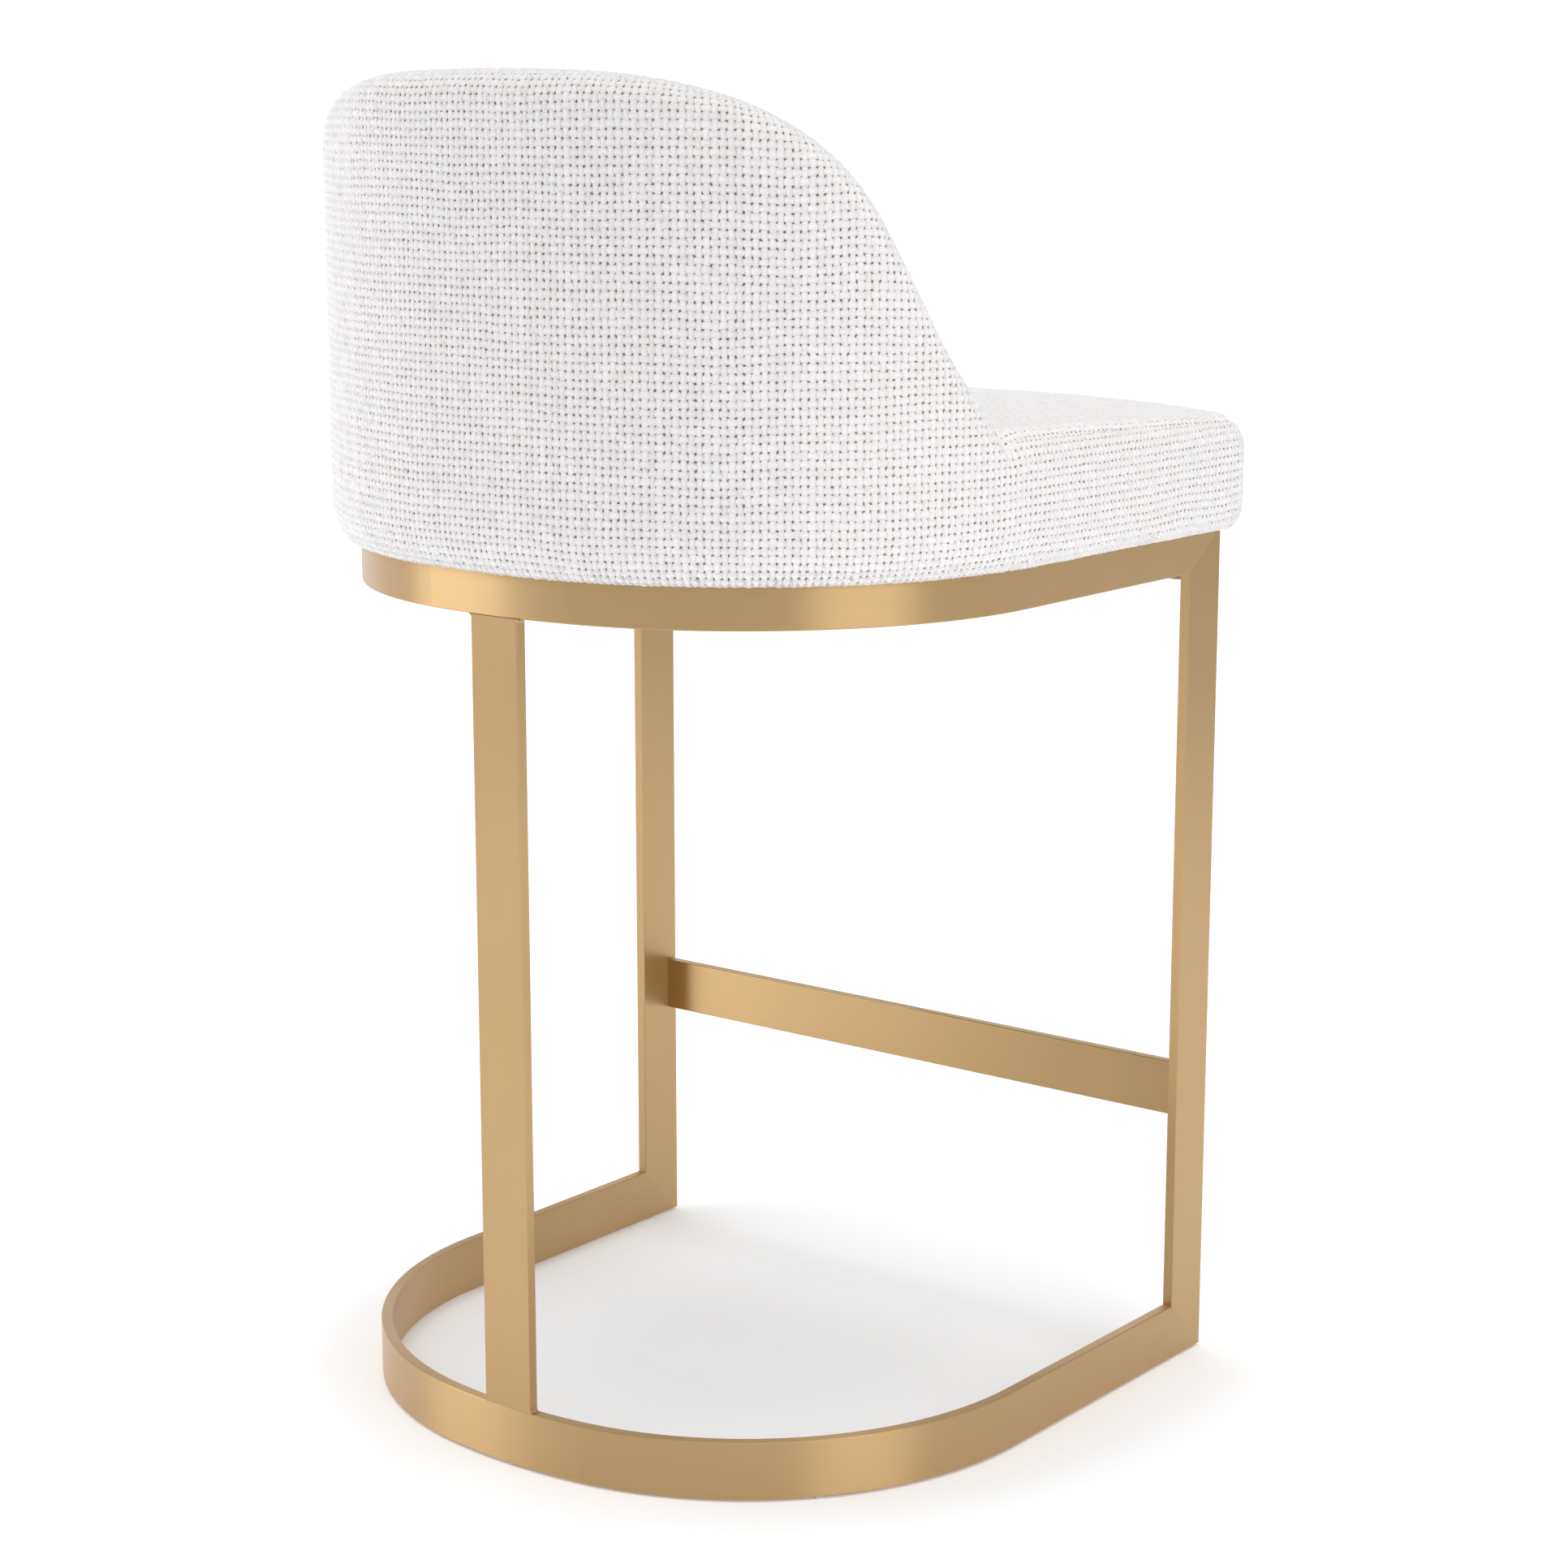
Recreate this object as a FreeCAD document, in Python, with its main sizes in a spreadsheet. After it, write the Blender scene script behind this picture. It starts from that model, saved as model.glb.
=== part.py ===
import FreeCAD, Part
import math
import os

import Sketcher

# Counter stool with a footrest: a welded sled frame of flat bar, open at the front, carries an
# upholstered seat with a low barrel back.
# Frame of reference: +Z up, +X to the sitter's left, +Y to the rear. The origin is on the floor, under
# the middle of the stool's bounding box. Lengths are in millimetres.
#
# Every ring, board and layer follows one plan: straight sides, two corner arcs and one flatter back
# arc, all tangent. A layer is named by its offset outward from the frame's outside faces.

Vector = FreeCAD.Vector
Placement = FreeCAD.Placement
Rotation = FreeCAD.Rotation

SIZES = (
    # Steel frame
    ("frame_width", 508, "outside width of both rings"),
    ("frame_depth", 477, "front edge of the legs to the rear face of the rings"),
    ("corner_radius", 231, "outside radius of the plan's two corner arcs"),
    ("back_radius", 380, "outside radius of the plan's back arc"),
    ("bar_width", 40, "wide side of the flat bar"),
    ("bar_thickness", 8, "thin side of the flat bar"),
    ("seat_ring_height", 30, "the seat ring's bar is narrower than the others"),
    ("frame_height", 608, "underside of the base ring to the top of the seat ring"),
    ("bar_edge_radius", 0.9, "ground edges of the flat bars"),
    ("footrest_level", 174, "footrest's underside above the base ring's underside"),
    ("rail_setback", 2.5, "footrest and front rail behind the legs' front edges"),
    ("weld_radius", 2.5, "weld fillets at both ends of the rear leg"),
    # Floor glides
    ("glide_height", 1.5, "glide heads lift the frame off the floor"),
    ("glide_head_radius", 3.6, "glide head, a little narrower than the bar"),
    ("glide_stem_radius", 2, "glide stem in its hole in the base ring"),
    ("glide_stem_length", 10, "glide stem above its head"),
    # Seat fixings
    ("seat_tab_length", 30, "tab along the ring"),
    ("seat_tab_depth", 36, "tab inward from the ring"),
    ("seat_tab_thickness", 3, "tab's steel strip"),
    ("bolt_inset", 24, "seat bolt's axis inward from the ring's inner face"),
    ("bolt_radius", 3, "M6 seat bolt"),
    ("bolt_hole_radius", 3.3, "clearance hole in the tabs and the dust cover"),
    ("bolt_length", 18, "shank under the head"),
    ("bolt_head_height", 4, "socket head"),
    ("bolt_head_radius", 5, "socket head"),
    ("washer_radius", 6.2, "flat washer under each bolt head"),
    ("washer_thickness", 1.6, "flat washer"),
    ("tee_nut_flange_radius", 9.5, "tee nut's flange, let into the board's top"),
    ("tee_nut_flange_thickness", 1.5, "tee nut's flange"),
    ("tee_nut_barrel_radius", 4, "tee nut's barrel"),
    ("tee_nut_bore_radius", 3.05, "M6 thread, plain here"),
    # Seat and back
    ("board_offset", 2, "edge of the seat board"),
    ("board_thickness", 15, "plywood"),
    ("shell_thickness", 10, "bent plywood of the back"),
    ("cover_offset", 18.5, "outside face of the fabric"),
    ("fabric_thickness", 1.5, "woven fabric"),
    ("inner_padding", 22, "foam on the inside of the back"),
    ("shell_drop", 12.5, "foam over the shell's top edge"),
    ("seat_height", 84, "top of the seat cover above the seat ring"),
    ("seat_edge_radius", 20, "rounding of the seat's top edge"),
    ("tuck_radius", 15, "rounding of the upholstery's bottom edge"),
    ("front_corner_radius", 29, "vertical front corners of the seat, outside the fabric"),
    ("hem_offset", -18, "inner edge of the fabric turned under the board"),
    ("back_front", 5, "Y of the back's front ends, hidden in the seat, ahead of the corner arcs"),
    # Top edge of the back, seen from the side, from the rear forward and down
    ("back_height", 921, "top of the back at the rear, above the base ring's underside"),
    ("top_slope", 10, "degrees, slope of the top edge at the rear"),
    ("wing_slope", 62.5, "degrees, slope of the straight stretch"),
    ("foot_slope", 46, "degrees, slope where the edge meets the seat"),
    ("top_arc_radius", 174, "convex arc over the shoulder"),
    ("wing_length", 65, "straight stretch"),
    ("foot_arc_radius", 330, "concave arc down to the seat"),
    # Small pieces under and inside the upholstery
    ("dust_cover_offset", -11, "edge of the dust cover"),
    ("dust_cover_thickness", 0.5, "non-woven cloth"),
    ("bracket_width", 30, "angle bracket along the shell"),
    ("bracket_leg", 30, "each leg of the angle bracket"),
    ("bracket_thickness", 2.5, "steel of the angle bracket"),
    ("bracket_screw_inset", 20, "screws from the bracket's bend"),
    ("bracket_screw_spacing", 16, "between the two screws of one leg"),
    ("screw_radius", 1.75, "wood screw"),
    ("screw_head_radius", 3.4, "countersunk head"),
    ("screw_head_height", 1.8, "countersunk head"),
    ("screw_length", 9.5, "wood screw with its head"),
    ("staple_width", 11, "staple's crown"),
    ("staple_wire_width", 1.2, "staple wire"),
    ("staple_wire_thickness", 0.6, "staple wire"),
    ("staple_leg", 7, "staple's legs"),
    ("staple_offset", -13, "row of staples"),
)

# Where the small pieces sit round the plan. A turn is the outward direction in degrees from +Y
# towards +X. A side station is a Y on both straight sides.
TAB_TURNS = (-64, 0, 64)
TAB_SIDE_Y = (-120,)
BRACKET_TURNS = (-76, -42, -14, 14, 42, 76)
GLIDE_TURNS = (-50, 0, 50)
GLIDE_SIDE_Y = (-205,)
STAPLE_TURNS = range(-72, 73, 16)
STAPLE_SIDE_Y = range(-192, 0, 48)
STAPLE_FRONT_X = range(-175, 176, 50)

SHEET = "Sizes"
FAR = 1200.0  # longer than the stool, for tools that cut right across it
NEAR = 0.01  # lengths and levels closer than this are the same
LEAST_CUT = 1.0  # mm3 that a cut has to take away
SHARP_CORNER = 1.0  # a plan's front corners under this radius are left square
PART_NAMES = []

doc = FreeCAD.newDocument("Stool")


def fill_sheet():
    """The spreadsheet of driving sizes: name, value and note, with the name as alias."""
    sheet = doc.addObject("Spreadsheet::Sheet", SHEET)
    for row, (name, size, note) in enumerate(SIZES, start=1):
        sheet.set(f"A{row}", name)
        sheet.set(f"B{row}", str(size))
        sheet.set(f"C{row}", note)
        sheet.setAlias(f"B{row}", name)
    doc.recompute()
    return sheet


sheet = fill_sheet()


def cells(text):
    """An expression with each size's name turned into its cell, such as Sizes.frame_width."""
    words = {name for name, _, _ in SIZES}
    made = ""
    word = ""
    for letter in text + " ":
        if letter.isalnum() or letter == "_":
            word += letter
            continue
        made += f"{SHEET}.{word}" if word in words else word
        made += letter
        word = ""
    return made.strip()


def number(text):
    """The value of an expression of size names."""
    return float(sheet.evalExpression(cells(text)))


def bind(obj, **expressions):
    """Bind properties to expressions of size names. A double underscore stands for a dot."""
    for prop, text in expressions.items():
        obj.setExpression(prop.replace("__", "."), cells(text))


# Levels and plan positions that several pieces share, as expressions of sizes.
RING_TOP = "(glide_height + frame_height)"
BOARD_BOTTOM = f"({RING_TOP} + fabric_thickness)"
BOARD_TOP = f"({BOARD_BOTTOM} + board_thickness)"
SEAT_TOP = f"({RING_TOP} + seat_height)"
SEAT_EDGE = f"({SEAT_TOP} - seat_edge_radius)"
TAB_TOP = f"({RING_TOP} - dust_cover_thickness)"
TAB_BOTTOM = f"({TAB_TOP} - seat_tab_thickness)"
FOAM_OFFSET = "(cover_offset - fabric_thickness)"
SHELL_INNER = "(board_offset - shell_thickness)"
LINER_OUTER = f"({SHELL_INNER} - inner_padding)"
LINER_INNER = f"({LINER_OUTER} - fabric_thickness)"
CORNER_X = "(frame_width / 2 - corner_radius)"
BACK_CENTRE_Y = "(frame_depth / 2 - back_radius)"


def corner_y():
    """Y of the corner arcs' centres, where they touch both the sides and the back arc."""
    apart = number("back_radius - corner_radius")
    return number(BACK_CENTRE_Y) + math.sqrt(apart**2 - number(CORNER_X) ** 2)


def back_turn():
    """Turn, in degrees, at which the back arc meets a corner arc."""
    return math.degrees(math.asin(number(CORNER_X) / number("back_radius - corner_radius")))


def plan_point(turn, offset):
    """The plan's point that faces the turn, at an offset."""
    angle = math.radians(turn)
    if abs(turn) <= back_turn():
        centre = Vector(0, number(BACK_CENTRE_Y), 0)
        radius = number("back_radius") + offset
    else:
        centre = Vector(math.copysign(number(CORNER_X), turn), corner_y(), 0)
        radius = number("corner_radius") + offset
    return centre + Vector(math.sin(angle), math.cos(angle), 0) * radius


def stations(turns, side_y, offset, chord=0.0, front_x=(), front_y=0.0):
    """Placements round the plan: local +Y points outward. A chord is the width of a flat piece,
    which stands off a curved wall until its two corners touch it."""
    placed = []
    for turn in turns:
        radius = number("back_radius" if abs(turn) <= back_turn() else "corner_radius") + offset
        inward = radius - math.sqrt(radius**2 - (chord / 2) ** 2)
        point = plan_point(turn, offset - inward)
        placed.append(Placement(point, Rotation(Vector(0, 0, 1), -turn)))
    for side in (-1, 1):
        x = side * (number("frame_width / 2") + offset)
        for y in side_y:
            placed.append(Placement(Vector(x, y, 0), Rotation(Vector(0, 0, 1), -90 * side)))
    for x in front_x:
        placed.append(Placement(Vector(x, front_y, 0), Rotation(Vector(0, 0, 1), 180)))
    return placed


# Sketch and body helpers


def new_body(name):
    return doc.addObject("PartDesign::Body", name)


def new_sketch(body, role, level=None):
    """A sketch on one of the body's own origin planes, raised to a level along its normal."""
    sketch = body.newObject("Sketcher::SketchObject", f"{body.Name}_sketch")
    plane = next(f for f in body.Origin.OriginFeatures if f.Role == role)
    sketch.AttachmentSupport = [(plane, "")]
    sketch.MapMode = "FlatFace"
    if level is not None:
        bind(sketch, AttachmentOffset__Base__z=level)
    return sketch


def driven(sketch, constraint, text):
    """Add a constraint whose value follows an expression of size names."""
    index = sketch.addConstraint(Sketcher.Constraint(*constraint, number(text)))
    sketch.setExpression(f"Constraints[{index}]", cells(text))


def arc(sketch, centre, radius, start, end):
    """A counter-clockwise arc between two angles in degrees."""
    circle = Part.Circle(centre, Vector(0, 0, 1), radius)
    return sketch.addGeometry(Part.ArcOfCircle(circle, math.radians(start), math.radians(end)))


def line(sketch, start, end):
    return sketch.addGeometry(Part.LineSegment(start, end))


def join(sketch, kind, first, second):
    """Join the end of one edge to the start of the next, Coincident or Tangent."""
    sketch.addConstraint(Sketcher.Constraint(kind, first, 2, second, 1))


def join_smoothly(sketch, *edges):
    """Join a chain of edges, each tangent to the next."""
    for first, second in zip(edges[:-1], edges[1:], strict=True):
        join(sketch, "Tangent", first, second)


def plan_chain(sketch, offset, front, corner=None):
    """The plan's open chain at an offset, counter-clockwise: right side, right corner arc, back
    arc, left corner arc, left side. front is the Y where the sides end. With a corner radius, the
    sides end that much further back. Returns the indexes of the first and the last edge."""
    out = number(offset)
    wide = number("frame_width / 2") + out
    corner_x = number(CORNER_X)
    centre_y = corner_y()
    turn = back_turn()
    end_y = number(front) + (number(corner) if corner else 0.0)
    right = line(sketch, Vector(wide, end_y, 0), Vector(wide, centre_y, 0))
    corner_radius = number("corner_radius") + out
    back_radius = number("back_radius") + out
    right_arc = arc(sketch, Vector(corner_x, centre_y, 0), corner_radius, 0, 90 - turn)
    back_centre = Vector(0, number(BACK_CENTRE_Y), 0)
    back_arc = arc(sketch, back_centre, back_radius, 90 - turn, 90 + turn)
    left_arc = arc(sketch, Vector(-corner_x, centre_y, 0), corner_radius, 90 + turn, 180)
    left = line(sketch, Vector(-wide, centre_y, 0), Vector(-wide, end_y, 0))
    join_smoothly(sketch, right, right_arc, back_arc, left_arc, left)
    for side in (right, left):
        sketch.addConstraint(Sketcher.Constraint("Vertical", side))
    driven(sketch, ("DistanceX", left, 2, -1, 1), f"frame_width / 2 + {offset}")
    driven(sketch, ("DistanceX", -1, 1, right, 1), f"frame_width / 2 + {offset}")
    driven(sketch, ("Radius", right_arc), f"corner_radius + {offset}")
    driven(sketch, ("Radius", left_arc), f"corner_radius + {offset}")
    driven(sketch, ("Radius", back_arc), f"back_radius + {offset}")
    driven(sketch, ("DistanceY", back_arc, 3, -1, 1), f"-{BACK_CENTRE_Y}")
    sketch.addConstraint(Sketcher.Constraint("PointOnObject", back_arc, 3, -2))
    if corner is None:
        driven(sketch, ("DistanceY", right, 1, -1, 1), f"-({front})")
        driven(sketch, ("DistanceY", left, 2, -1, 1), f"-({front})")
    return right, left


def closed_plan(sketch, offset):
    """The plan closed by a straight front, with rounded front corners."""
    front = f"(-frame_depth / 2 - {offset})"
    corner = f"(front_corner_radius - cover_offset + {offset})"
    radius = number(corner)
    front_y = number(front)
    wide = number(f"frame_width / 2 + {offset}")
    if radius < SHARP_CORNER:
        right, left = plan_chain(sketch, offset, front)
        bottom = line(sketch, Vector(-wide, front_y, 0), Vector(wide, front_y, 0))
        join(sketch, "Coincident", left, bottom)
        join(sketch, "Coincident", bottom, right)
        return
    right, left = plan_chain(sketch, offset, front, corner)
    near_left = arc(sketch, Vector(radius - wide, front_y + radius, 0), radius, 180, 270)
    bottom = line(sketch, Vector(radius - wide, front_y, 0), Vector(wide - radius, front_y, 0))
    near_right = arc(sketch, Vector(wide - radius, front_y + radius, 0), radius, 270, 360)
    join_smoothly(sketch, left, near_left, bottom, near_right, right)
    driven(sketch, ("Radius", near_left), corner)
    driven(sketch, ("Radius", near_right), corner)
    driven(sketch, ("DistanceY", bottom, 1, -1, 1), f"-{front}")


def open_band(sketch, outer, inner, front):
    """The U between two offsets of the plan, cut square at the front."""
    first, last = plan_chain(sketch, outer, front)
    inner_first, inner_last = plan_chain(sketch, inner, front)
    for edge, end, other, other_end in ((last, 2, inner_last, 2), (first, 1, inner_first, 1)):
        geometry = sketch.Geometry
        start = geometry[edge].EndPoint if end == 2 else geometry[edge].StartPoint
        stop = geometry[other].EndPoint if other_end == 2 else geometry[other].StartPoint
        cap = line(sketch, start, stop)
        sketch.addConstraint(Sketcher.Constraint("Coincident", cap, 1, edge, end))
        sketch.addConstraint(Sketcher.Constraint("Coincident", cap, 2, other, other_end))


def fix_point(sketch, edge, end, x, y):
    """Tie one point of an edge to the sketch's origin by two expressions."""
    for kind, axis, text in (("DistanceX", -2, x), ("DistanceY", -1, y)):
        if number(text) == 0:
            sketch.addConstraint(Sketcher.Constraint("PointOnObject", edge, end, axis))
        elif number(text) > 0:
            driven(sketch, (kind, -1, 1, edge, end), text)
        else:
            driven(sketch, (kind, edge, end, -1, 1), f"-({text})")


def polygon(sketch, corners):
    """A closed outline through corners given as pairs of expressions."""
    points = [Vector(number(x), number(y), 0) for x, y in corners]
    edges = [line(sketch, a, b) for a, b in zip(points, points[1:] + points[:1], strict=True)]
    for first, second in zip(edges, edges[1:] + edges[:1], strict=True):
        join(sketch, "Coincident", first, second)
    for edge, (x, y) in zip(edges, corners, strict=True):
        fix_point(sketch, edge, 1, x, y)


def pad(body, sketch, length):
    feature = body.newObject("PartDesign::Pad", f"{body.Name}_pad")
    feature.Profile = sketch
    bind(feature, Length=length)
    return feature


def cut_across(body, sketch):
    """Cut the sketch right through the body, both ways. Stops if it takes nothing away."""
    doc.recompute()
    before = body.Shape.Volume
    feature = body.newObject("PartDesign::Pocket", f"{body.Name}_cut")
    feature.Profile = sketch
    feature.Type = "ThroughAll"
    feature.Midplane = True
    doc.recompute()
    if not body.Shape.Volume < before - LEAST_CUT:
        raise RuntimeError(f"{body.Label}: a cut takes nothing away")
    return feature


def edge_names(shape, wanted):
    """Names of the edges that a test picks."""
    return [f"Edge{i}" for i, edge in enumerate(shape.Edges, start=1) if wanted(edge)]


def round_edges(body, feature, radius, wanted):
    """Fillet the edges of the body's last feature that a test picks."""
    doc.recompute()
    fillet = body.newObject("PartDesign::Fillet", f"{body.Name}_fillet")
    fillet.Base = (feature, edge_names(feature.Shape, wanted))
    bind(fillet, Radius=radius)
    return fillet


def at_level(level):
    """A test for edges that lie in a level plane."""
    height = number(level)

    def lies_there(edge):
        box = edge.BoundBox
        return abs(box.ZMin - height) < NEAR and abs(box.ZMax - height) < NEAR

    return lies_there


def upright(edge):
    return edge.BoundBox.XLength < NEAR and edge.BoundBox.YLength < NEAR


def block(name, length, width, height, x, y, z):
    """A box from expressions of its three sizes and its lowest corner."""
    made = doc.addObject("Part::Box", name)
    bind(made, Length=length, Width=width, Height=height)
    bind(made, Placement__Base__x=x, Placement__Base__y=y, Placement__Base__z=z)
    return made


def post(name, radius, height, level, x="0", y="0"):
    """An upright cylinder from expressions."""
    made = doc.addObject("Part::Cylinder", name)
    bind(made, Radius=radius, Height=height)
    bind(made, Placement__Base__x=x, Placement__Base__y=y, Placement__Base__z=level)
    return made


def cut(name, base, tool):
    made = doc.addObject("Part::Cut", name)
    made.Base = base
    made.Tool = tool
    return made


def common(name, base, tool):
    made = doc.addObject("Part::Common", name)
    made.Base = base
    made.Tool = tool
    return made


def fuse(name, *pieces):
    made = doc.addObject("Part::MultiFuse", name)
    made.Shapes = list(pieces)
    return made


def group(name, master, placements):
    """Copies of one small piece, as separate solids of one shape."""
    doc.recompute()
    made = doc.addObject("Part::Feature", name)
    copies = []
    for placement in placements:
        copy = master.Shape.copy()
        copy.Placement = placement.multiply(copy.Placement)
        copies.append(copy)
    made.Shape = Part.makeCompound(copies)
    made.Placement = Placement()
    return made


def keep(obj, label):
    """Name an object as a sub-part, to be written to its own file."""
    obj.Label = label
    PART_NAMES.append(obj.Name)
    return obj


# Steel frame


def mitre_corners(level, height, upward):
    """The triangle, in the YZ plane, that a leg's mitre takes off the front end of a ring."""
    front = "(-frame_depth / 2)"
    behind = "(bar_width - frame_depth / 2)"
    bottom = f"({level})"
    top = f"({level} + {height})"
    if upward:
        return ((front, bottom), (behind, top), (front, top))
    return ((front, top), (front, bottom), (behind, bottom))


def ring(name, level, height, upward):
    """A bent U of flat bar, mitred at both front ends to meet the legs."""
    body = new_body(name)
    plan = new_sketch(body, "XY_Plane", level)
    open_band(plan, "0", "(-bar_thickness)", "(-frame_depth / 2)")
    pad(body, plan, height)
    mitre = new_sketch(body, "YZ_Plane")
    polygon(mitre, mitre_corners(level, height, upward))
    mitred = cut_across(body, mitre)
    longer_than_ends = number("2 * bar_thickness")

    def along_the_bar(edge):
        return edge.BoundBox.ZLength < NEAR and edge.Length > longer_than_ends

    round_edges(body, mitred, "bar_edge_radius", along_the_bar)
    return body


def base_ring(glides):
    """The ring on the floor, with holes for the glides' stems."""
    body = ring("base_ring_bar", "glide_height", "bar_width", upward=True)
    keep(cut("base_ring_drilled", body, glides), "base_ring")


def seat_ring():
    """The ring under the seat."""
    level = f"{RING_TOP} - seat_ring_height"
    keep(ring("seat_ring_bar", level, "seat_ring_height", upward=False), "seat_ring")


def front_legs():
    """Two legs of flat bar, edge on to the front, mitred at both ends."""
    front = "(-frame_depth / 2)"
    behind = "(bar_width - frame_depth / 2)"
    corners = (
        (front, "glide_height"),
        (behind, "glide_height + bar_width"),
        (behind, f"{RING_TOP} - seat_ring_height"),
        (front, RING_TOP),
    )
    for name, inner in (
        ("front_leg_left", "frame_width / 2 - bar_thickness"),
        ("front_leg_right", "-frame_width / 2"),
    ):
        body = new_body(f"{name}_bar")
        outline = new_sketch(body, "YZ_Plane")
        polygon(outline, corners)
        bar = pad(body, outline, "bar_thickness")
        round_edges(body, bar, "bar_edge_radius", upright)
        bind(body, Placement__Base__x=inner)
        keep(body, name)


def rear_leg():
    """One leg of flat bar, flat to the rear, with weld fillets where it meets the rings."""
    body = new_body("rear_leg_bar")
    outline = new_sketch(body, "XZ_Plane")
    low = number("glide_height + bar_width")
    high = number(f"{RING_TOP} - seat_ring_height")
    half = number("bar_width / 2")
    weld = number("weld_radius")
    foot = line(outline, Vector(-half - weld, low, 0), Vector(half + weld, low, 0))
    right = line(outline, Vector(half, low + weld, 0), Vector(half, high - weld, 0))
    head = line(outline, Vector(half + weld, high, 0), Vector(-half - weld, high, 0))
    left = line(outline, Vector(-half, high - weld, 0), Vector(-half, low + weld, 0))
    low_centre = "glide_height + bar_width + weld_radius"
    high_centre = f"{RING_TOP} - seat_ring_height - weld_radius"
    welds = (
        ("bar_width / 2 + weld_radius", low_centre, 180, foot, right),
        ("bar_width / 2 + weld_radius", high_centre, 90, right, head),
        ("-bar_width / 2 - weld_radius", high_centre, 0, head, left),
        ("-bar_width / 2 - weld_radius", low_centre, 270, left, foot),
    )
    for x, y, start, before, after in welds:
        fillet = arc(outline, Vector(number(x), number(y), 0), weld, start, start + 90)
        # A fillet bends the other way, so it is joined to the edge before it by its own end.
        outline.addConstraint(Sketcher.Constraint("Tangent", before, 2, fillet, 2))
        outline.addConstraint(Sketcher.Constraint("Tangent", fillet, 1, after, 1))
        fix_point(outline, fillet, 3, x, y)
    driven(outline, ("DistanceX", left, 1, right, 1), "bar_width")
    bar = pad(body, outline, "bar_thickness")
    round_edges(body, bar, "bar_edge_radius", upright)
    # The pad runs towards -Y from its sketch, so its rear face is level with the rings'.
    bind(body, Placement__Base__y="frame_depth / 2")
    keep(body, "rear_leg")


def cross_bar(label, level):
    """A flat bar on edge between the front legs' inner faces."""
    bar = block(
        f"{label}_bar",
        "frame_width - 2 * bar_thickness",
        "bar_thickness",
        "bar_width",
        "bar_thickness - frame_width / 2",
        "rail_setback - frame_depth / 2",
        level,
    )
    doc.recompute()
    fillet = doc.addObject("Part::Fillet", f"{label}_rounded")
    fillet.Base = bar
    radius = number("bar_edge_radius")
    wide = number("bar_width")
    long_edges = [i for i, edge in enumerate(bar.Shape.Edges, start=1) if edge.Length > wide + NEAR]
    fillet.Edges = [(i, radius, radius) for i in long_edges]
    keep(fillet, label)


def floor_glides():
    """Push-in nylon glides, head and stem."""
    head = post("glide_head", "glide_head_radius", "glide_height", "0")
    stem = post("glide_stem", "glide_stem_radius", "glide_stem_length", "glide_height")
    places = stations(GLIDE_TURNS, GLIDE_SIDE_Y, -number("bar_thickness / 2"))
    return keep(group("glides", fuse("glide", head, stem), places), "floor_glides")


# Seat fixings


def tab_stations():
    """Where the tabs' outer edges meet the ring's inner face or the rear face of the front rail."""
    inside = -number("bar_thickness")
    length = number("seat_tab_length")
    rail_face = number("rail_setback + bar_thickness - frame_depth / 2")
    return stations(TAB_TURNS, TAB_SIDE_Y, inside, length, front_x=(0,), front_y=rail_face)


def seat_tabs(places):
    """Steel tabs under the seat board, each with a clearance hole."""
    strip = block(
        "tab_strip",
        "seat_tab_length",
        "seat_tab_depth",
        "seat_tab_thickness",
        "-seat_tab_length / 2",
        "-seat_tab_depth",
        TAB_BOTTOM,
    )
    hole = post("tab_hole", "bolt_hole_radius", "seat_tab_thickness", TAB_BOTTOM, y="-bolt_inset")
    keep(group("tabs", cut("tab", strip, hole), places), "seat_tabs")


def seat_bolts(places):
    """Socket-head bolts from below."""
    under_head = f"({TAB_BOTTOM} - washer_thickness)"
    lowest = f"{under_head} - bolt_head_height"
    shank = post("bolt_shank", "bolt_radius", "bolt_length", under_head, y="-bolt_inset")
    head = post("bolt_head", "bolt_head_radius", "bolt_head_height", lowest, y="-bolt_inset")
    socket = doc.addObject("Part::Prism", "bolt_socket")
    socket.Polygon = 6
    bind(socket, Circumradius="bolt_head_radius / 2", Height="bolt_head_height / 2")
    bind(socket, Placement__Base__y="-bolt_inset", Placement__Base__z=lowest)
    bolt = cut("bolt", fuse("bolt_blank", shank, head), socket)
    keep(group("bolts", bolt, places), "seat_bolts")


def bolt_washers(places):
    """Flat washers between the bolt heads and the tabs."""
    level = f"({TAB_BOTTOM} - washer_thickness)"
    disc = post("washer_disc", "washer_radius", "washer_thickness", level, y="-bolt_inset")
    hole = post("washer_hole", "bolt_hole_radius", "washer_thickness", level, y="-bolt_inset")
    keep(group("washers", cut("washer", disc, hole), places), "bolt_washers")


def tee_nuts(places):
    """Tee nuts let into the board from above, and the solid shape of their pockets."""
    thin = "tee_nut_flange_thickness"
    flange = post("nut_flange", "tee_nut_flange_radius", thin, f"({BOARD_TOP} - {thin})", y="-bolt_inset")
    barrel = post("nut_barrel", "tee_nut_barrel_radius", "board_thickness", BOARD_BOTTOM, y="-bolt_inset")
    outside = fuse("nut_outside", flange, barrel)
    bore = post("nut_bore", "tee_nut_bore_radius", "board_thickness", BOARD_BOTTOM, y="-bolt_inset")
    keep(group("nuts", cut("nut", outside, bore), places), "tee_nuts")
    return group("nut_pockets", outside, places)


# Upholstery


def plan_block(name, offset, bottom, height):
    """A slab with the closed plan, as a body and its pad."""
    body = new_body(name)
    outline = new_sketch(body, "XY_Plane", bottom)
    closed_plan(outline, offset)
    return body, pad(body, outline, height)


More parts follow.
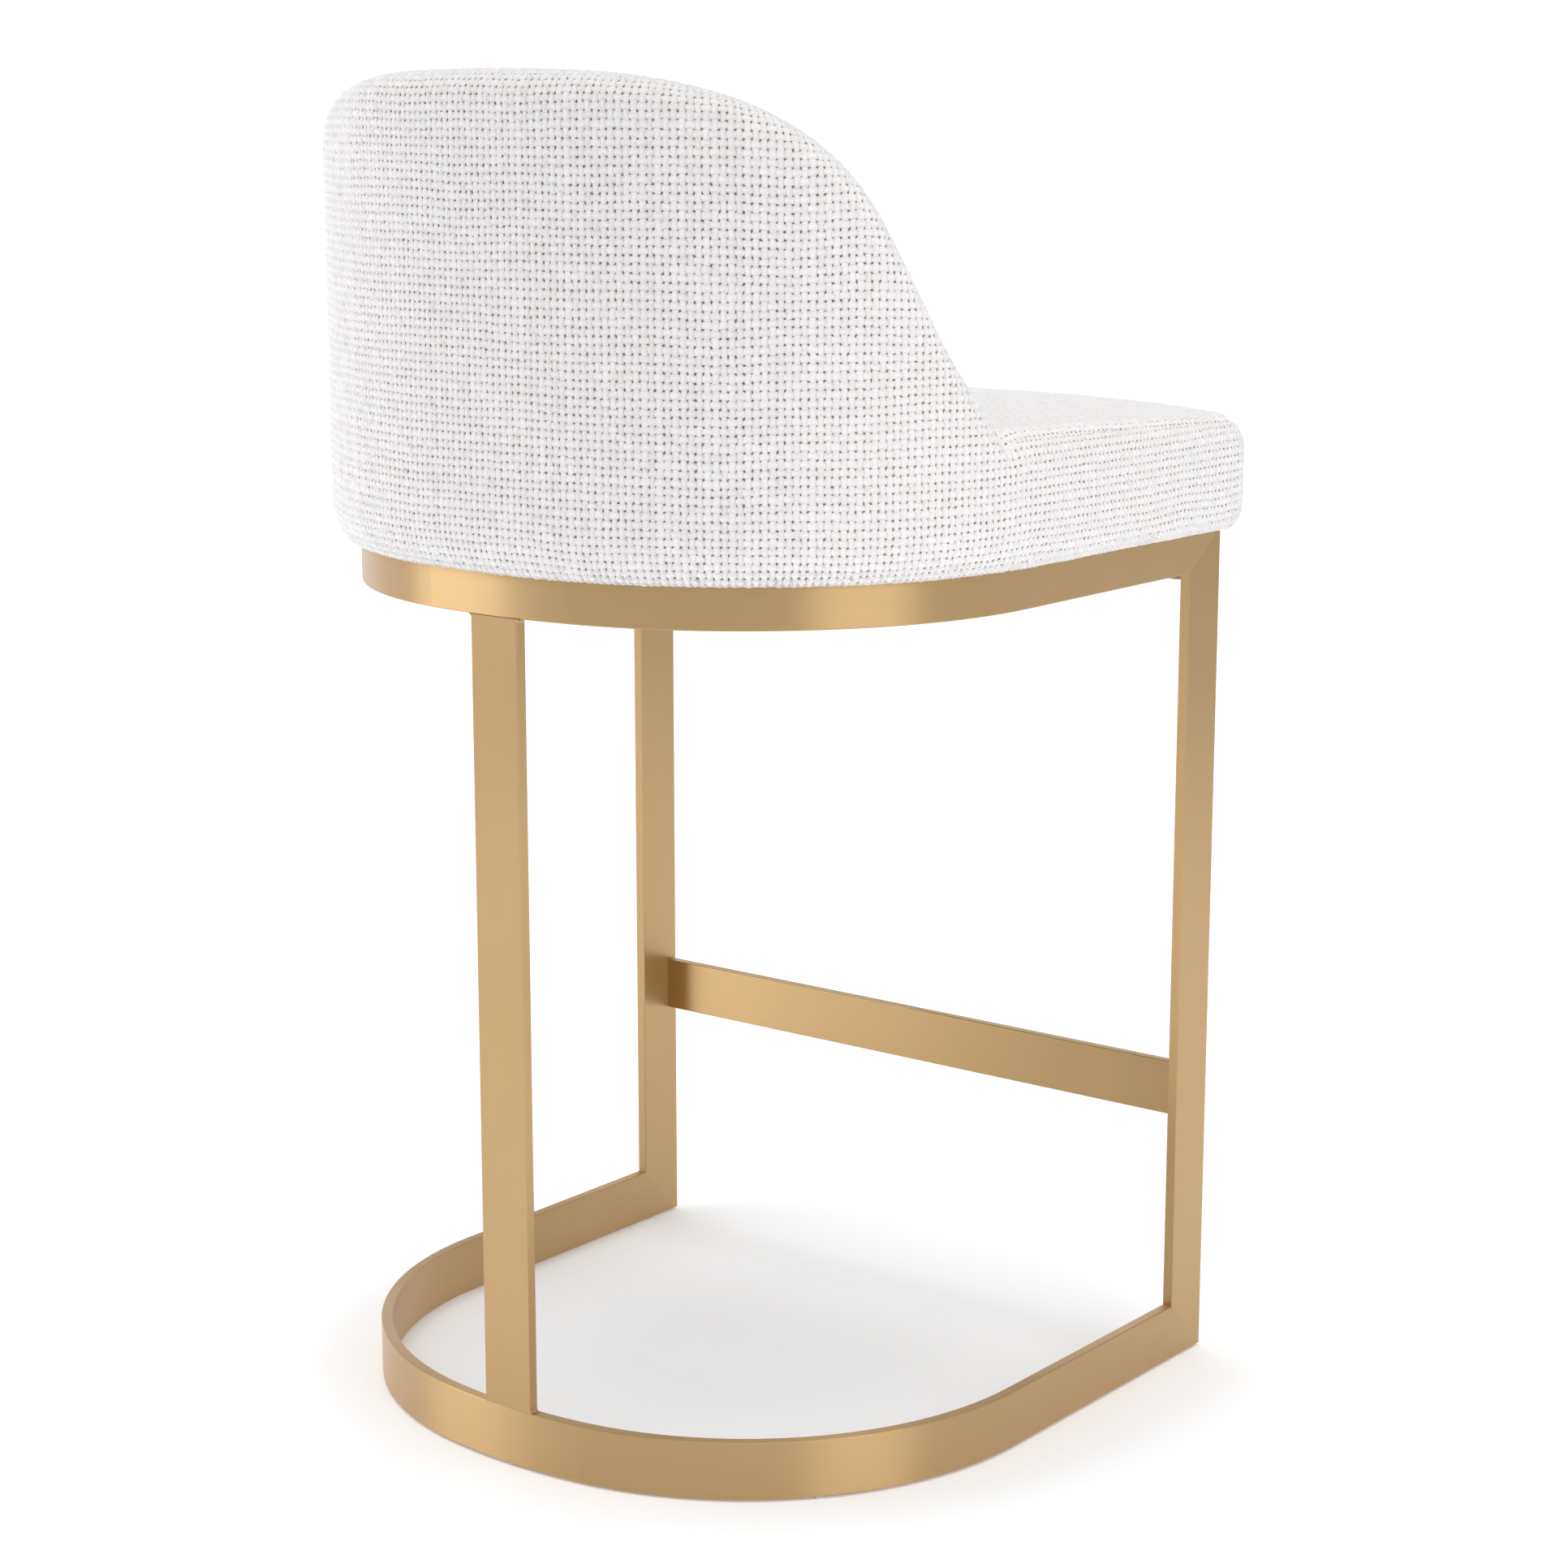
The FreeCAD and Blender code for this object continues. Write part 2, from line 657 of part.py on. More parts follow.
def seat_form(name, skin):
    """The seat's whole form under a skin of a given thickness: the outside face of the covers with
    none, the foam's with the fabric's. Its bottom edge is tucked in and its top edge rounded."""
    bottom = f"({RING_TOP} + {skin})"
    top = f"({SEAT_TOP} - {skin})"
    body, slab = plan_block(name, f"(cover_offset - {skin})", bottom, f"{top} - {bottom}")
    tucked = round_edges(body, slab, f"tuck_radius - {skin}", at_level(bottom))
    round_edges(body, tucked, f"seat_edge_radius - {skin}", at_level(top))
    return body


def top_edge_points(drop):
    """Points on the back's top edge seen from the side, lowered by a drop: the rear end, the two
    ends and middle of the convex arc, the same for the concave arc, and the front end."""
    top, wing, foot = (math.radians(number(a)) for a in ("top_slope", "wing_slope", "foot_slope"))
    radius = number("top_arc_radius")
    foot_radius = number("foot_arc_radius")
    rear_y = number("frame_depth / 2 + cover_offset")
    centre = Vector(0, rear_y, number("glide_height + back_height"))
    centre += Vector(0, math.sin(top), -math.cos(top)) * radius

    def on_arc(middle, distance, slope):
        return middle + Vector(0, -math.sin(slope), math.cos(slope)) * distance

    shoulder = on_arc(centre, radius, wing)
    wing_foot = shoulder - Vector(0, math.cos(wing), math.sin(wing)) * number("wing_length")
    foot_centre = on_arc(wing_foot, foot_radius, wing)
    convex = [on_arc(centre, radius - drop, slope) for slope in (top, (top + wing) / 2, wing)]
    foot_slopes = (wing, (wing + foot) / 2, foot)
    concave = [on_arc(foot_centre, -foot_radius - drop, slope) for slope in foot_slopes]
    beyond = convex[0] + Vector(0, math.cos(top), math.sin(top)) * radius
    ahead = concave[-1] - Vector(0, math.cos(foot), math.sin(foot)) * radius
    return beyond, convex, concave, ahead


def above_the_back(drop):
    """Everything above the back's top edge lowered by a drop."""
    beyond, convex, concave, ahead = top_edge_points(drop)
    ceiling = Vector(0, 0, FAR)
    edges = [
        Part.LineSegment(beyond, convex[0]),
        Part.Arc(*convex),
        Part.LineSegment(convex[-1], concave[0]),
        Part.Arc(*concave),
        Part.LineSegment(concave[-1], ahead),
        Part.LineSegment(ahead, Vector(0, ahead.y, 0) + ceiling),
        Part.LineSegment(Vector(0, ahead.y, 0) + ceiling, Vector(0, beyond.y, 0) + ceiling),
        Part.LineSegment(Vector(0, beyond.y, 0) + ceiling, beyond),
    ]
    face = Part.Face(Part.Wire([edge.toShape() for edge in edges]))
    made = doc.addObject("Part::Feature", "above_back")
    made.Shape = face.extrude(Vector(FAR, 0, 0))
    made.Placement = Placement(Vector(-FAR / 2, 0, 0), Rotation())
    return made


def back_band(name, outer, inner, bottom, drop):
    """A wall of the back between two offsets, from its bottom up to the top edge less a drop."""
    body = new_body(name)
    plan = new_sketch(body, "XY_Plane", bottom)
    open_band(plan, outer, inner, "back_front")
    pad(body, plan, f"{FAR} - {bottom}")
    return cut(f"{name}_trimmed", body, above_the_back(number(drop)))


def back_region():
    """The whole thickness of the back, which the seat's layers leave free."""
    return back_band("back_region", "(cover_offset + shell_thickness)", LINER_INNER, RING_TOP, "0")


def seat_board(nut_pockets, screws, staples):
    """Plywood base with pockets for the tee nuts and holes for the screws and staples."""
    body, _ = plan_block("board_blank", "board_offset", BOARD_BOTTOM, "board_thickness")
    pocketed = cut("board_pocketed", body, nut_pockets)
    screwed = cut("board_screwed", pocketed, screws)
    keep(cut("board_stapled", screwed, staples), "seat_board")


def shell_wall(name):
    """The shell's own shape, before its screw holes."""
    return back_band(name, "board_offset", SHELL_INNER, BOARD_TOP, "fabric_thickness + shell_drop")


def back_shell(screws):
    """Bent plywood wall of the back, standing on the board."""
    keep(cut("shell_screwed", shell_wall("shell_wall"), screws), "back_shell")


def back_inner_foam(brackets, screws):
    """Foam inside the shell and over its top edge."""
    wall = back_band("inner_foam_wall", "board_offset", LINER_OUTER, BOARD_TOP, "fabric_thickness")
    hollow = cut("inner_foam_hollow", wall, shell_wall("shell_space"))
    fitted = cut("inner_foam_fitted", hollow, brackets)
    keep(cut("inner_foam_screwed", fitted, screws), "back_inner_foam")


def back_outer_foam():
    """Foam between the shell and the outer cover, down round the board's edge."""
    height = f"{FAR} - {BOARD_BOTTOM}"
    body, slab = plan_block("outer_foam_form", FOAM_OFFSET, BOARD_BOTTOM, height)
    round_edges(body, slab, "tuck_radius - fabric_thickness", at_level(BOARD_BOTTOM))
    wall = back_band("outer_foam_wall", "cover_offset", "board_offset", RING_TOP, "fabric_thickness")
    keep(common("outer_foam_trimmed", wall, body), "back_outer_foam")


def back_inner_cover(brackets):
    """Fabric on the back's inside face and over its top edge."""
    outside = back_band("liner_outside", FOAM_OFFSET, LINER_INNER, BOARD_TOP, "0")
    inside = back_band("liner_inside", FOAM_OFFSET, LINER_OUTER, BOARD_TOP, "fabric_thickness")
    keep(cut("liner_fitted", cut("liner", outside, inside), brackets), "back_inner_cover")


def seat_foam(brackets):
    """Foam on the board inside the barrel, and over the board's edge in front of the back."""
    form = seat_form("foam_form", "fabric_thickness")
    board, _ = plan_block("board_space", "board_offset", BOARD_BOTTOM, "board_thickness")
    hollow = cut("foam_hollow", form, board)
    seat = cut("foam_seat", hollow, back_region())
    keep(cut("foam_fitted", seat, brackets), "seat_foam")


def covers(staples):
    """The seat's top cover, and one outer cover that runs round the seat and up the back."""
    outside = seat_form("cover_outside", "0")
    skin = cut("seat_skin", outside, seat_form("cover_inside", "fabric_thickness"))
    wide = f"{FAR}"
    centred = f"-{FAR} / 2"
    above = block("above_edge", wide, wide, "seat_edge_radius * 2", centred, centred, SEAT_EDGE)
    top = common("top_skin", skin, above)
    keep(cut("top_cover", top, back_region()), "seat_top_cover")

    side = cut("side_skin", skin, above)
    under_hem = f"{RING_TOP} - fabric_thickness"
    opening, _ = plan_block("under_opening", "hem_offset", under_hem, "board_thickness")
    hemmed = cut("side_hemmed", side, opening)
    back = back_band("outer_cover_back", "cover_offset", FOAM_OFFSET, SEAT_EDGE, "0")
    keep(cut("outer_cover_stapled", fuse("outer_cover_whole", hemmed, back), staples), "outer_cover")


def dust_cover(bolt_places, staples):
    """Thin black cloth under the board, with holes for the bolts and the staples."""
    body, _ = plan_block("dust_blank", "dust_cover_offset", TAB_TOP, "dust_cover_thickness")
    hole = post("bolt_hole", "bolt_hole_radius", "board_thickness", TAB_BOTTOM, y="-bolt_inset")
    drilled = cut("dust_drilled", body, group("bolt_holes", hole, bolt_places))
    keep(cut("dust_stapled", drilled, staples), "dust_cover")


def placed(shape, placement):
    """A copy of a shape, put in place."""
    copy = shape.copy()
    copy.Placement = placement
    return copy


def bracket_screws(places):
    """Countersunk wood screws: two down into the board and two out into the shell, per bracket."""
    length = number("screw_length")
    tip = number("screw_length - screw_head_height")
    shank = Part.makeCylinder(number("screw_radius"), tip)
    head_radius = number("screw_head_radius")
    head = Part.makeCone(number("screw_radius"), head_radius, length - tip, Vector(0, 0, tip))
    screw = shank.fuse(head)
    face = number("bracket_thickness")
    inset = number("bracket_screw_inset")
    level = number(BOARD_TOP)
    outward = Rotation(Vector(1, 0, 0), 90)
    beside = number("bracket_screw_spacing / 2")
    screws = []
    for x in (-beside, beside):
        screws.append(Placement(Vector(x, -inset, level + face - length), Rotation()))
        screws.append(Placement(Vector(x, length - face, level + inset), outward))
    master = doc.addObject("Part::Feature", "bracket_screw_set")
    master.Shape = Part.makeCompound([placed(screw, place) for place in screws])
    return keep(group("screws", master, places), "bracket_screws")


def back_brackets(places, screws):
    """Steel angle brackets between the board and the shell, countersunk for their screws."""
    wide = "bracket_width"
    long = "bracket_leg"
    thin = "bracket_thickness"
    flat = block("bracket_flat", wide, long, thin, f"-{wide} / 2", f"-{long}", BOARD_TOP)
    wall = block("bracket_wall", wide, thin, long, f"-{wide} / 2", f"-{thin}", BOARD_TOP)
    blanks = group("bracket_blanks", fuse("bracket", flat, wall), places)
    keep(cut("brackets", blanks, screws), "back_brackets")
    return blanks


def staples_under_board():
    """Wire staples through the dust cover and the hem into the board."""
    wide = "staple_wire_width"
    thin = "staple_wire_thickness"
    level = f"({TAB_TOP} - {thin})"
    start = "-staple_width / 2"
    stop = f"staple_width / 2 - {thin}"
    crown = block("staple_crown", "staple_width", wide, thin, start, f"-{wide} / 2", level)
    left = block("staple_left", thin, wide, "staple_leg", start, f"-{wide} / 2", level)
    right = block("staple_right", thin, wide, "staple_leg", stop, f"-{wide} / 2", level)
    offset = number("staple_offset")
    front_y = -number("frame_depth / 2") - offset
    places = stations(STAPLE_TURNS, STAPLE_SIDE_Y, offset, front_x=STAPLE_FRONT_X, front_y=front_y)
    return keep(group("staple_row", fuse("staple", crown, left, right), places), "staples")


def check_and_export():
    """Stop on any failed object or bad sub-part, then write each sub-part to its own file."""
    doc.recompute()
    failed = [o.Name for o in doc.Objects if "Invalid" in o.State or "Error" in o.State]
    if failed:
        raise RuntimeError(f"failed objects: {failed}")
    parts = [doc.getObject(name) for name in PART_NAMES]
    for part in parts:
        if part.Shape.isNull() or not part.Shape.isValid() or not part.Shape.Solids:
            raise RuntimeError(f"{part.Label}: bad shape")
    os.makedirs("parts", exist_ok=True)
    for part in parts:
        part.Shape.exportStep(f"parts/{part.Label}.step")
        print(part.Label, len(part.Shape.Solids), "solids,", round(part.Shape.Volume / 1000, 2), "cm3")


glides = floor_glides()
base_ring(glides)
seat_ring()
front_legs()
rear_leg()
cross_bar("footrest_bar", "glide_height + footrest_level")
cross_bar("front_rail", f"{RING_TOP} - bar_width")

tab_places = tab_stations()
seat_tabs(tab_places)
seat_bolts(tab_places)
bolt_washers(tab_places)
nut_pockets = tee_nuts(tab_places)

bracket_places = stations(BRACKET_TURNS, (), number(SHELL_INNER), number("bracket_width"))
screws = bracket_screws(bracket_places)
brackets = back_brackets(bracket_places, screws)
staples = staples_under_board()

seat_board(nut_pockets, screws, staples)
back_shell(screws)
back_inner_foam(brackets, screws)
back_outer_foam()
back_inner_cover(brackets)
seat_foam(brackets)
covers(staples)
dust_cover(tab_places, staples)
check_and_export()
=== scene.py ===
"""Counter stool with a barrel back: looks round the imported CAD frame.

Lengths are in metres in the CAD frame: +Z up, -Y to the front, origin on the floor under the
stool's middle.
The three fabric pieces are grids that follow the cloth's own threads, with two steps to each
thread, so that the weave is real relief. Each is laid on its wall and rolled over its edge by the
distance past the edge's line.
"""

import math

import bpy
import numpy as np
from mathutils import Matrix, Vector


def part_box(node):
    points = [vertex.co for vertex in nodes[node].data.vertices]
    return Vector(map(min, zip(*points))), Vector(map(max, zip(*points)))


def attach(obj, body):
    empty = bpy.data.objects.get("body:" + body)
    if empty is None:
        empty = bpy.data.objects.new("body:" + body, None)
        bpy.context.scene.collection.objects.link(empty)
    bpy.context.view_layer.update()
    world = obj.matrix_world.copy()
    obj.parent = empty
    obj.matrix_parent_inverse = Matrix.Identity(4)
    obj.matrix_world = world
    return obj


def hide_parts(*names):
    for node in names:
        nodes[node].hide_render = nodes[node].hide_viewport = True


MM = 0.001
FAR = 1.0  # stands for a distance where none applies, further than any on the stool
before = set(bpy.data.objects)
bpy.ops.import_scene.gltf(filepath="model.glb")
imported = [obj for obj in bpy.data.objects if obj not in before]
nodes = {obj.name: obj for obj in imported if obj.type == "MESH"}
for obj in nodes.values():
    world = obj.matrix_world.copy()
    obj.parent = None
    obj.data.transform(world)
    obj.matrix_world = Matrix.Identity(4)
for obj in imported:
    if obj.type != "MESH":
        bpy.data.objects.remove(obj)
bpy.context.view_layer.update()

# The plan that rings, board and covers share: a back arc, two corner arcs, straight sides and a
# straight front with small corners.
ring_low, ring_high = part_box("seat_ring")
cover_low, cover_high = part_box("outer_cover")
HALF_WIDTH = ring_high.x
BACK_Y = ring_high.y
FRONT_Y = ring_low.y
RING_TOP = ring_high.z
COVER = cover_high.x - HALF_WIDTH  # offset of the cloth's outside face from the frame's
BACK_RADIUS = 380 * MM
CORNER_RADIUS = 231 * MM
FRONT_CORNER = 29 * MM - COVER  # radius of the plan's front corners at the frame's face
BACK_CENTRE_Y = BACK_Y - BACK_RADIUS
CORNER_X = HALF_WIDTH - CORNER_RADIUS
CORNER_Y = BACK_CENTRE_Y + math.sqrt((BACK_RADIUS - CORNER_RADIUS) ** 2 - CORNER_X**2)
CORNER_TURN = math.asin(CORNER_X / (BACK_RADIUS - CORNER_RADIUS))
LEAST_RADIUS = 0.3 * MM

LENGTHS = np.array(
    [
        (BACK_RADIUS + COVER) * CORNER_TURN,
        (CORNER_RADIUS + COVER) * (math.pi / 2 - CORNER_TURN),
        CORNER_Y - FRONT_Y - FRONT_CORNER,
        (FRONT_CORNER + COVER) * math.pi / 2,
        HALF_WIDTH - FRONT_CORNER,
    ]
)
STARTS = np.concatenate([[0.0], np.cumsum(LENGTHS)])
HALF_LOOP = STARTS[-1]
THREADS_ROUND = 378
PITCH = 2 * HALF_LOOP / THREADS_ROUND  # from one upright thread to the next
ROW_PITCH = 5.37 * MM
STEP = PITCH / 2
ROW_STEP = ROW_PITCH / 2

# Thickness of the back and the rolls of its top edge and of the seat's edge
WALL = 50 * MM
ROLL_HEIGHT = 19 * MM
ROLL_POWER = 2.3
SEAT_ROLL = 25 * MM
SEAM_ON_ROLL = 0.70  # share of the back's roll, from the outside in, where the cloths are sewn
SEAM_ON_SEAT = 0.58  # share of the seat's quarter roll that the outer cloth covers


def plan(s, e):
    """Plan points (x, y). s runs along the cover's outside face from the back's middle, e is the
    outward offset from the frame's face."""
    a = np.abs(s)
    side = np.where(s < 0, -1.0, 1.0)
    turn = np.where(
        a < STARTS[1],
        a / (BACK_RADIUS + COVER),
        CORNER_TURN + (a - STARTS[1]) / (CORNER_RADIUS + COVER),
    )
    turn = np.minimum(turn, math.pi / 2)
    centre_x = np.where(a < STARTS[1], 0.0, CORNER_X)
    centre_y = np.where(a < STARTS[1], BACK_CENTRE_Y, CORNER_Y)
    radius = np.where(a < STARTS[1], BACK_RADIUS, CORNER_RADIUS)
    x = centre_x + (radius + e) * np.sin(turn)
    y = centre_y + (radius + e) * np.cos(turn) - np.clip(a - STARTS[2], 0, LENGTHS[2])
    round_turn = np.clip((a - STARTS[3]) / (FRONT_CORNER + COVER), 0, math.pi / 2)
    round_radius = np.maximum(FRONT_CORNER + e, LEAST_RADIUS)
    round_x = HALF_WIDTH - FRONT_CORNER - np.maximum(a - STARTS[4], 0)
    round_y = FRONT_Y + FRONT_CORNER
    reach = np.where(a > STARTS[4], FRONT_CORNER + e, round_radius)
    x = np.where(a > STARTS[3], round_x + reach * np.cos(round_turn), x)
    y = np.where(a > STARTS[3], round_y - reach * np.sin(round_turn), y)
    return side * x, y


def offset_of(x, y):
    """The outward offset e of plan points, not counting the front."""
    x = np.abs(x)
    on_back = np.arctan2(x, y - BACK_CENTRE_Y) < CORNER_TURN
    corner = np.hypot(x - CORNER_X, y - CORNER_Y) - CORNER_RADIUS
    back = np.hypot(x, y - BACK_CENTRE_Y) - BACK_RADIUS
    return np.where(y < CORNER_Y, x - HALF_WIDTH, np.where(on_back, back, corner))


# Top edge of the back seen from the side: two arcs, a straight between them and a straight below
EDGE_ARC = (287.2 * MM, 751.1 * MM, 174 * MM)  # y and z of its centre, radius
EDGE_FOOT_ARC = (-189.8 * MM, 926.1 * MM, 330 * MM)
EDGE_SHOULDER = (132.9 * MM, 831.4 * MM)  # y and z
EDGE_WING_END = 102.9 * MM
EDGE_FOOT = (47.6 * MM, 696.9 * MM)
WING_SLOPE = math.tan(math.radians(62.5))
FOOT_SLOPE = math.tan(math.radians(46))


def edge_height(y):
    """Height of the back's top edge over plan points at y."""
    arc_y, arc_z, arc_r = EDGE_ARC
    foot_y, foot_z, foot_r = EDGE_FOOT_ARC
    convex = arc_z + np.sqrt(np.maximum(arc_r**2 - (y - arc_y) ** 2, 0))
    straight = EDGE_SHOULDER[1] - (EDGE_SHOULDER[0] - y) * WING_SLOPE
    concave = foot_z - np.sqrt(np.maximum(foot_r**2 - (y - foot_y) ** 2, 0))
    below = EDGE_FOOT[1] - (EDGE_FOOT[0] - y) * FOOT_SLOPE
    return np.where(
        y > EDGE_SHOULDER[0],
        convex,
        np.where(y > EDGE_WING_END, straight, np.where(y > EDGE_FOOT[0], concave, below)),
    )


SEAT_FRONT = 686.3 * MM  # height of the seat's cloth at the front edge, without its crown
SEAT_RISE = 13 * MM
SEAT_DEPTH = 307 * MM
SEAT_HALF_WIDTH = 262 * MM
CROWN_AT = (0.0, 0.15, 0.45, 0.8, 1.02)  # shares of the seat's depth
CROWN = tuple(h * MM for h in (6.6, 7.6, 8.6, 5.0, 1.0))
CROWN_POWER = 4.5
DIP_WIDTH = 11 * MM
DIP, DIP_AT_EDGE = 9 * MM, 4 * MM
DIP_EDGE_BAND = -15 * MM  # plan offset that the shallower dip starts from
DIP_FROM_Y = 52 * MM


def seat_height(x, y):
    """Height of the seat's top cloth: it falls to the front, is crowned, and dips at the back."""
    along = np.clip((y - cover_low.y) / SEAT_DEPTH, 0, CROWN_AT[-1])
    across = 1 - np.clip(np.abs(x) / SEAT_HALF_WIDTH, 0, 1) ** CROWN_POWER
    crown = np.interp(along, CROWN_AT, CROWN)
    height = SEAT_FRONT + SEAT_RISE * along + across * crown
    away = np.hypot(
        np.maximum(COVER - WALL - offset_of(x, y), 0), np.maximum(DIP_FROM_Y - y, 0)
    )
    dip = np.where(offset_of(x, y) > DIP_EDGE_BAND, DIP_AT_EDGE, DIP)
    return height - dip * np.exp(-((away / DIP_WIDTH) ** 2))


class Line:
    """A smooth line in a cloth's flat plane: its running length, points and outward normals."""

    def __init__(self, u, v):
        du, dv = np.gradient(u), np.gradient(v)
        size = np.hypot(du, dv)
        self.at = np.concatenate([[0.0], np.cumsum(np.hypot(np.diff(u), np.diff(v)))])
        self.u, self.v = u, v
        self.nu, self.nv = -dv / size, du / size

    def inset(self, distance):
        """A line moved in along the normals."""
        return Line(self.u - distance * self.nu, self.v - distance * self.nv)

    def nearest(self, u, v):
        """Each given point's place along the line, and its signed distance outwards from it."""
        flat_u, flat_v = u.ravel(), v.ravel()
        where, far = np.empty(flat_u.size), np.empty(flat_u.size)
        chunk = 4000  # points at a time, to keep the distance table small
        for i in range(0, flat_u.size, chunk):
            pu, pv = flat_u[i : i + chunk, None], flat_v[i : i + chunk, None]
            k = np.argmin((pu - self.u) ** 2 + (pv - self.v) ** 2, axis=1)
            off_u, off_v = pu[:, 0] - self.u[k], pv[:, 0] - self.v[k]
            where[i : i + chunk] = self.at[k] + off_u * self.nv[k] - off_v * self.nu[k]
            far[i : i + chunk] = off_u * self.nu[k] + off_v * self.nv[k]
        return where.reshape(u.shape), far.reshape(u.shape)

    def point(self, where, out):
        """The point at a running length, moved out along the normal there."""
        u, v, nu, nv = (
            np.interp(where, self.at, a) for a in (self.u, self.v, self.nu, self.nv)
        )
        return u + out * nu, v + out * nv


def roll_table():
    """The back's roll in section: distance along the cloth, rise past its start, and way in."""
    turn = np.linspace(0, math.pi, 721)
    sine, cosine = np.sin(turn), np.cos(turn)
    rise = ROLL_HEIGHT * np.abs(sine) ** (2 / ROLL_POWER)
    inward = WALL / 2 * (1 - np.sign(cosine) * np.abs(cosine) ** (2 / ROLL_POWER))
    run = np.concatenate([[0.0], np.cumsum(np.hypot(np.diff(rise), np.diff(inward)))])
    return run, rise, inward


ROLL_RUN, ROLL_RISE, ROLL_IN = roll_table()
ROLL_LENGTH = ROLL_RUN[-1]
ROLL_SEAM = SEAM_ON_ROLL * ROLL_LENGTH
SEAT_ROLL_LENGTH = SEAT_ROLL * math.pi / 2
SEAT_SEAM = SEAM_ON_SEAT * SEAT_ROLL_LENGTH

FINE = 1 * MM  # spacing of the points on the edge lines
WING_LINE_END = -40 * MM  # how far forward the line of the back's edge is followed
half_run = np.arange(0, STARTS[3], FINE)
reaching = half_run[plan(half_run, COVER)[1] > WING_LINE_END]
wing_s = np.concatenate([-reaching[:0:-1], reaching])
wing_edge = Line(wing_s, edge_height(plan(wing_s, COVER)[1]))
wing_line = wing_edge.inset(ROLL_HEIGHT)
seat_s = np.arange(-HALF_LOOP, HALF_LOOP + FINE / 2, FINE)
seat_line = Line(seat_s, seat_height(*plan(seat_s, COVER - SEAT_ROLL)) - SEAT_ROLL)


# Cloth: relief of a plain weave of thick soft threads, from random numbers with fixed seeds
RELIEF_ON_TOP = 0.60 * MM  # in the middle of a crossing
RELIEF_UPRIGHT = 0.42 * MM  # between crossings that are one above the other
RELIEF_LEVEL = 0.30 * MM  # between crossings side by side
RELIEF_GAP = -1.05 * MM  # where four crossings meet
FLOAT_REACH = 0.13  # how far the upper thread pushes a crossing's side, in thread pitches
WANDER = 0.035  # whole threads out of place, in thread pitches
JITTER = 0.040  # crossings out of place, in thread pitches
UNEVEN = 0.20  # uneven thickness of the yarn


def smooth_noise(rng, u, v, size):
    """Smooth random values over a plane, about -1 to 1, with features of the given size."""
    cells_u = np.floor((u - u.min()) / size).astype(int)
    cells_v = np.floor((v - v.min()) / size).astype(int)
    table = rng.uniform(-1, 1, (cells_v.max() + 3, cells_u.max() + 3))
    fu = (u - u.min()) / size - cells_u
    fv = (v - v.min()) / size - cells_v
    fu, fv = fu * fu * (3 - 2 * fu), fv * fv * (3 - 2 * fv)
    low = table[cells_v, cells_u] * (1 - fu) + table[cells_v, cells_u + 1] * fu
    high = table[cells_v + 1, cells_u] * (1 - fu) + table[cells_v + 1, cells_u + 1] * fu
    return low * (1 - fv) + high * fv


def weave_grid(rng, columns, rows, closed):
    """Half-crossing grid of a cloth: thread coordinates, shifted flat coordinates and relief."""
    i, j = np.meshgrid(columns, rows)
    odd_i, odd_j = i % 2 == 1, j % 2 == 1
    shape = i.shape
    weft_over = (i // 2 + j // 2) % 2 == 1
    # Floats are longer than wide, so a crossing's sides move towards the thread that goes under.
    reach = FLOAT_REACH * PITCH
    shift_u = np.where(~odd_i & odd_j, np.where(weft_over, -reach, reach), 0.0)
    shift_v = np.where(odd_i & ~odd_j, np.where(weft_over, reach, -reach), 0.0)
    # Threads wander, and each crossing is a little out of place.
    wander_u = rng.normal(0, WANDER, shape[1])[None, :] * PITCH
    wander_v = rng.normal(0, WANDER, shape[0])[:, None] * PITCH
    jitter_u = rng.normal(0, JITTER, shape) * PITCH
    jitter_v = rng.normal(0, JITTER, shape) * PITCH
    flat_u, flat_v = i * STEP, j * ROW_STEP
    u = flat_u + shift_u + wander_u + jitter_u
    v = flat_v + shift_v + wander_v + jitter_v
    u = u + smooth_noise(rng, flat_u, flat_v, 60 * MM) * 0.35 * PITCH * (0 if closed else 1)
    v = v + smooth_noise(rng, flat_u, flat_v, 45 * MM) * 0.22 * PITCH
    thick = 1 + rng.normal(0, UNEVEN, shape)
    on_side = np.where(odd_i, RELIEF_UPRIGHT, np.where(odd_j, RELIEF_LEVEL, RELIEF_GAP))
    height = np.where(odd_i & odd_j, RELIEF_ON_TOP, on_side) * thick
    height += smooth_noise(rng, flat_u, flat_v, 14 * MM) * 0.10 * MM
    height += smooth_noise(rng, flat_u, flat_v, 70 * MM) * 0.35 * MM
    if closed:
        for a in (u, v, height):
            a[:, -1] = a[:, 0]
        u[:, -1] = u[:, 0] + (columns[-1] - columns[0]) * STEP
    return i / 2, j / 2, u, v, height


def grid_normals(points, closed):
    """Unit normals of a grid of points, from its rows and columns."""
    along = np.gradient(points, axis=1)
    if closed:
        along[:, 0] = along[:, -1] = (points[:, 1] - points[:, -2]) / 2
    up = np.gradient(points, axis=0)
    normal = np.cross(along, up)
    return normal / np.maximum(np.linalg.norm(normal, axis=2, keepdims=True), 1e-12)


def quad_corners(index):
    """The four corners of every quad of a grid."""
    return np.stack([index[:-1, :-1], index[:-1, 1:], index[1:, 1:], index[1:, :-1]], axis=-1)


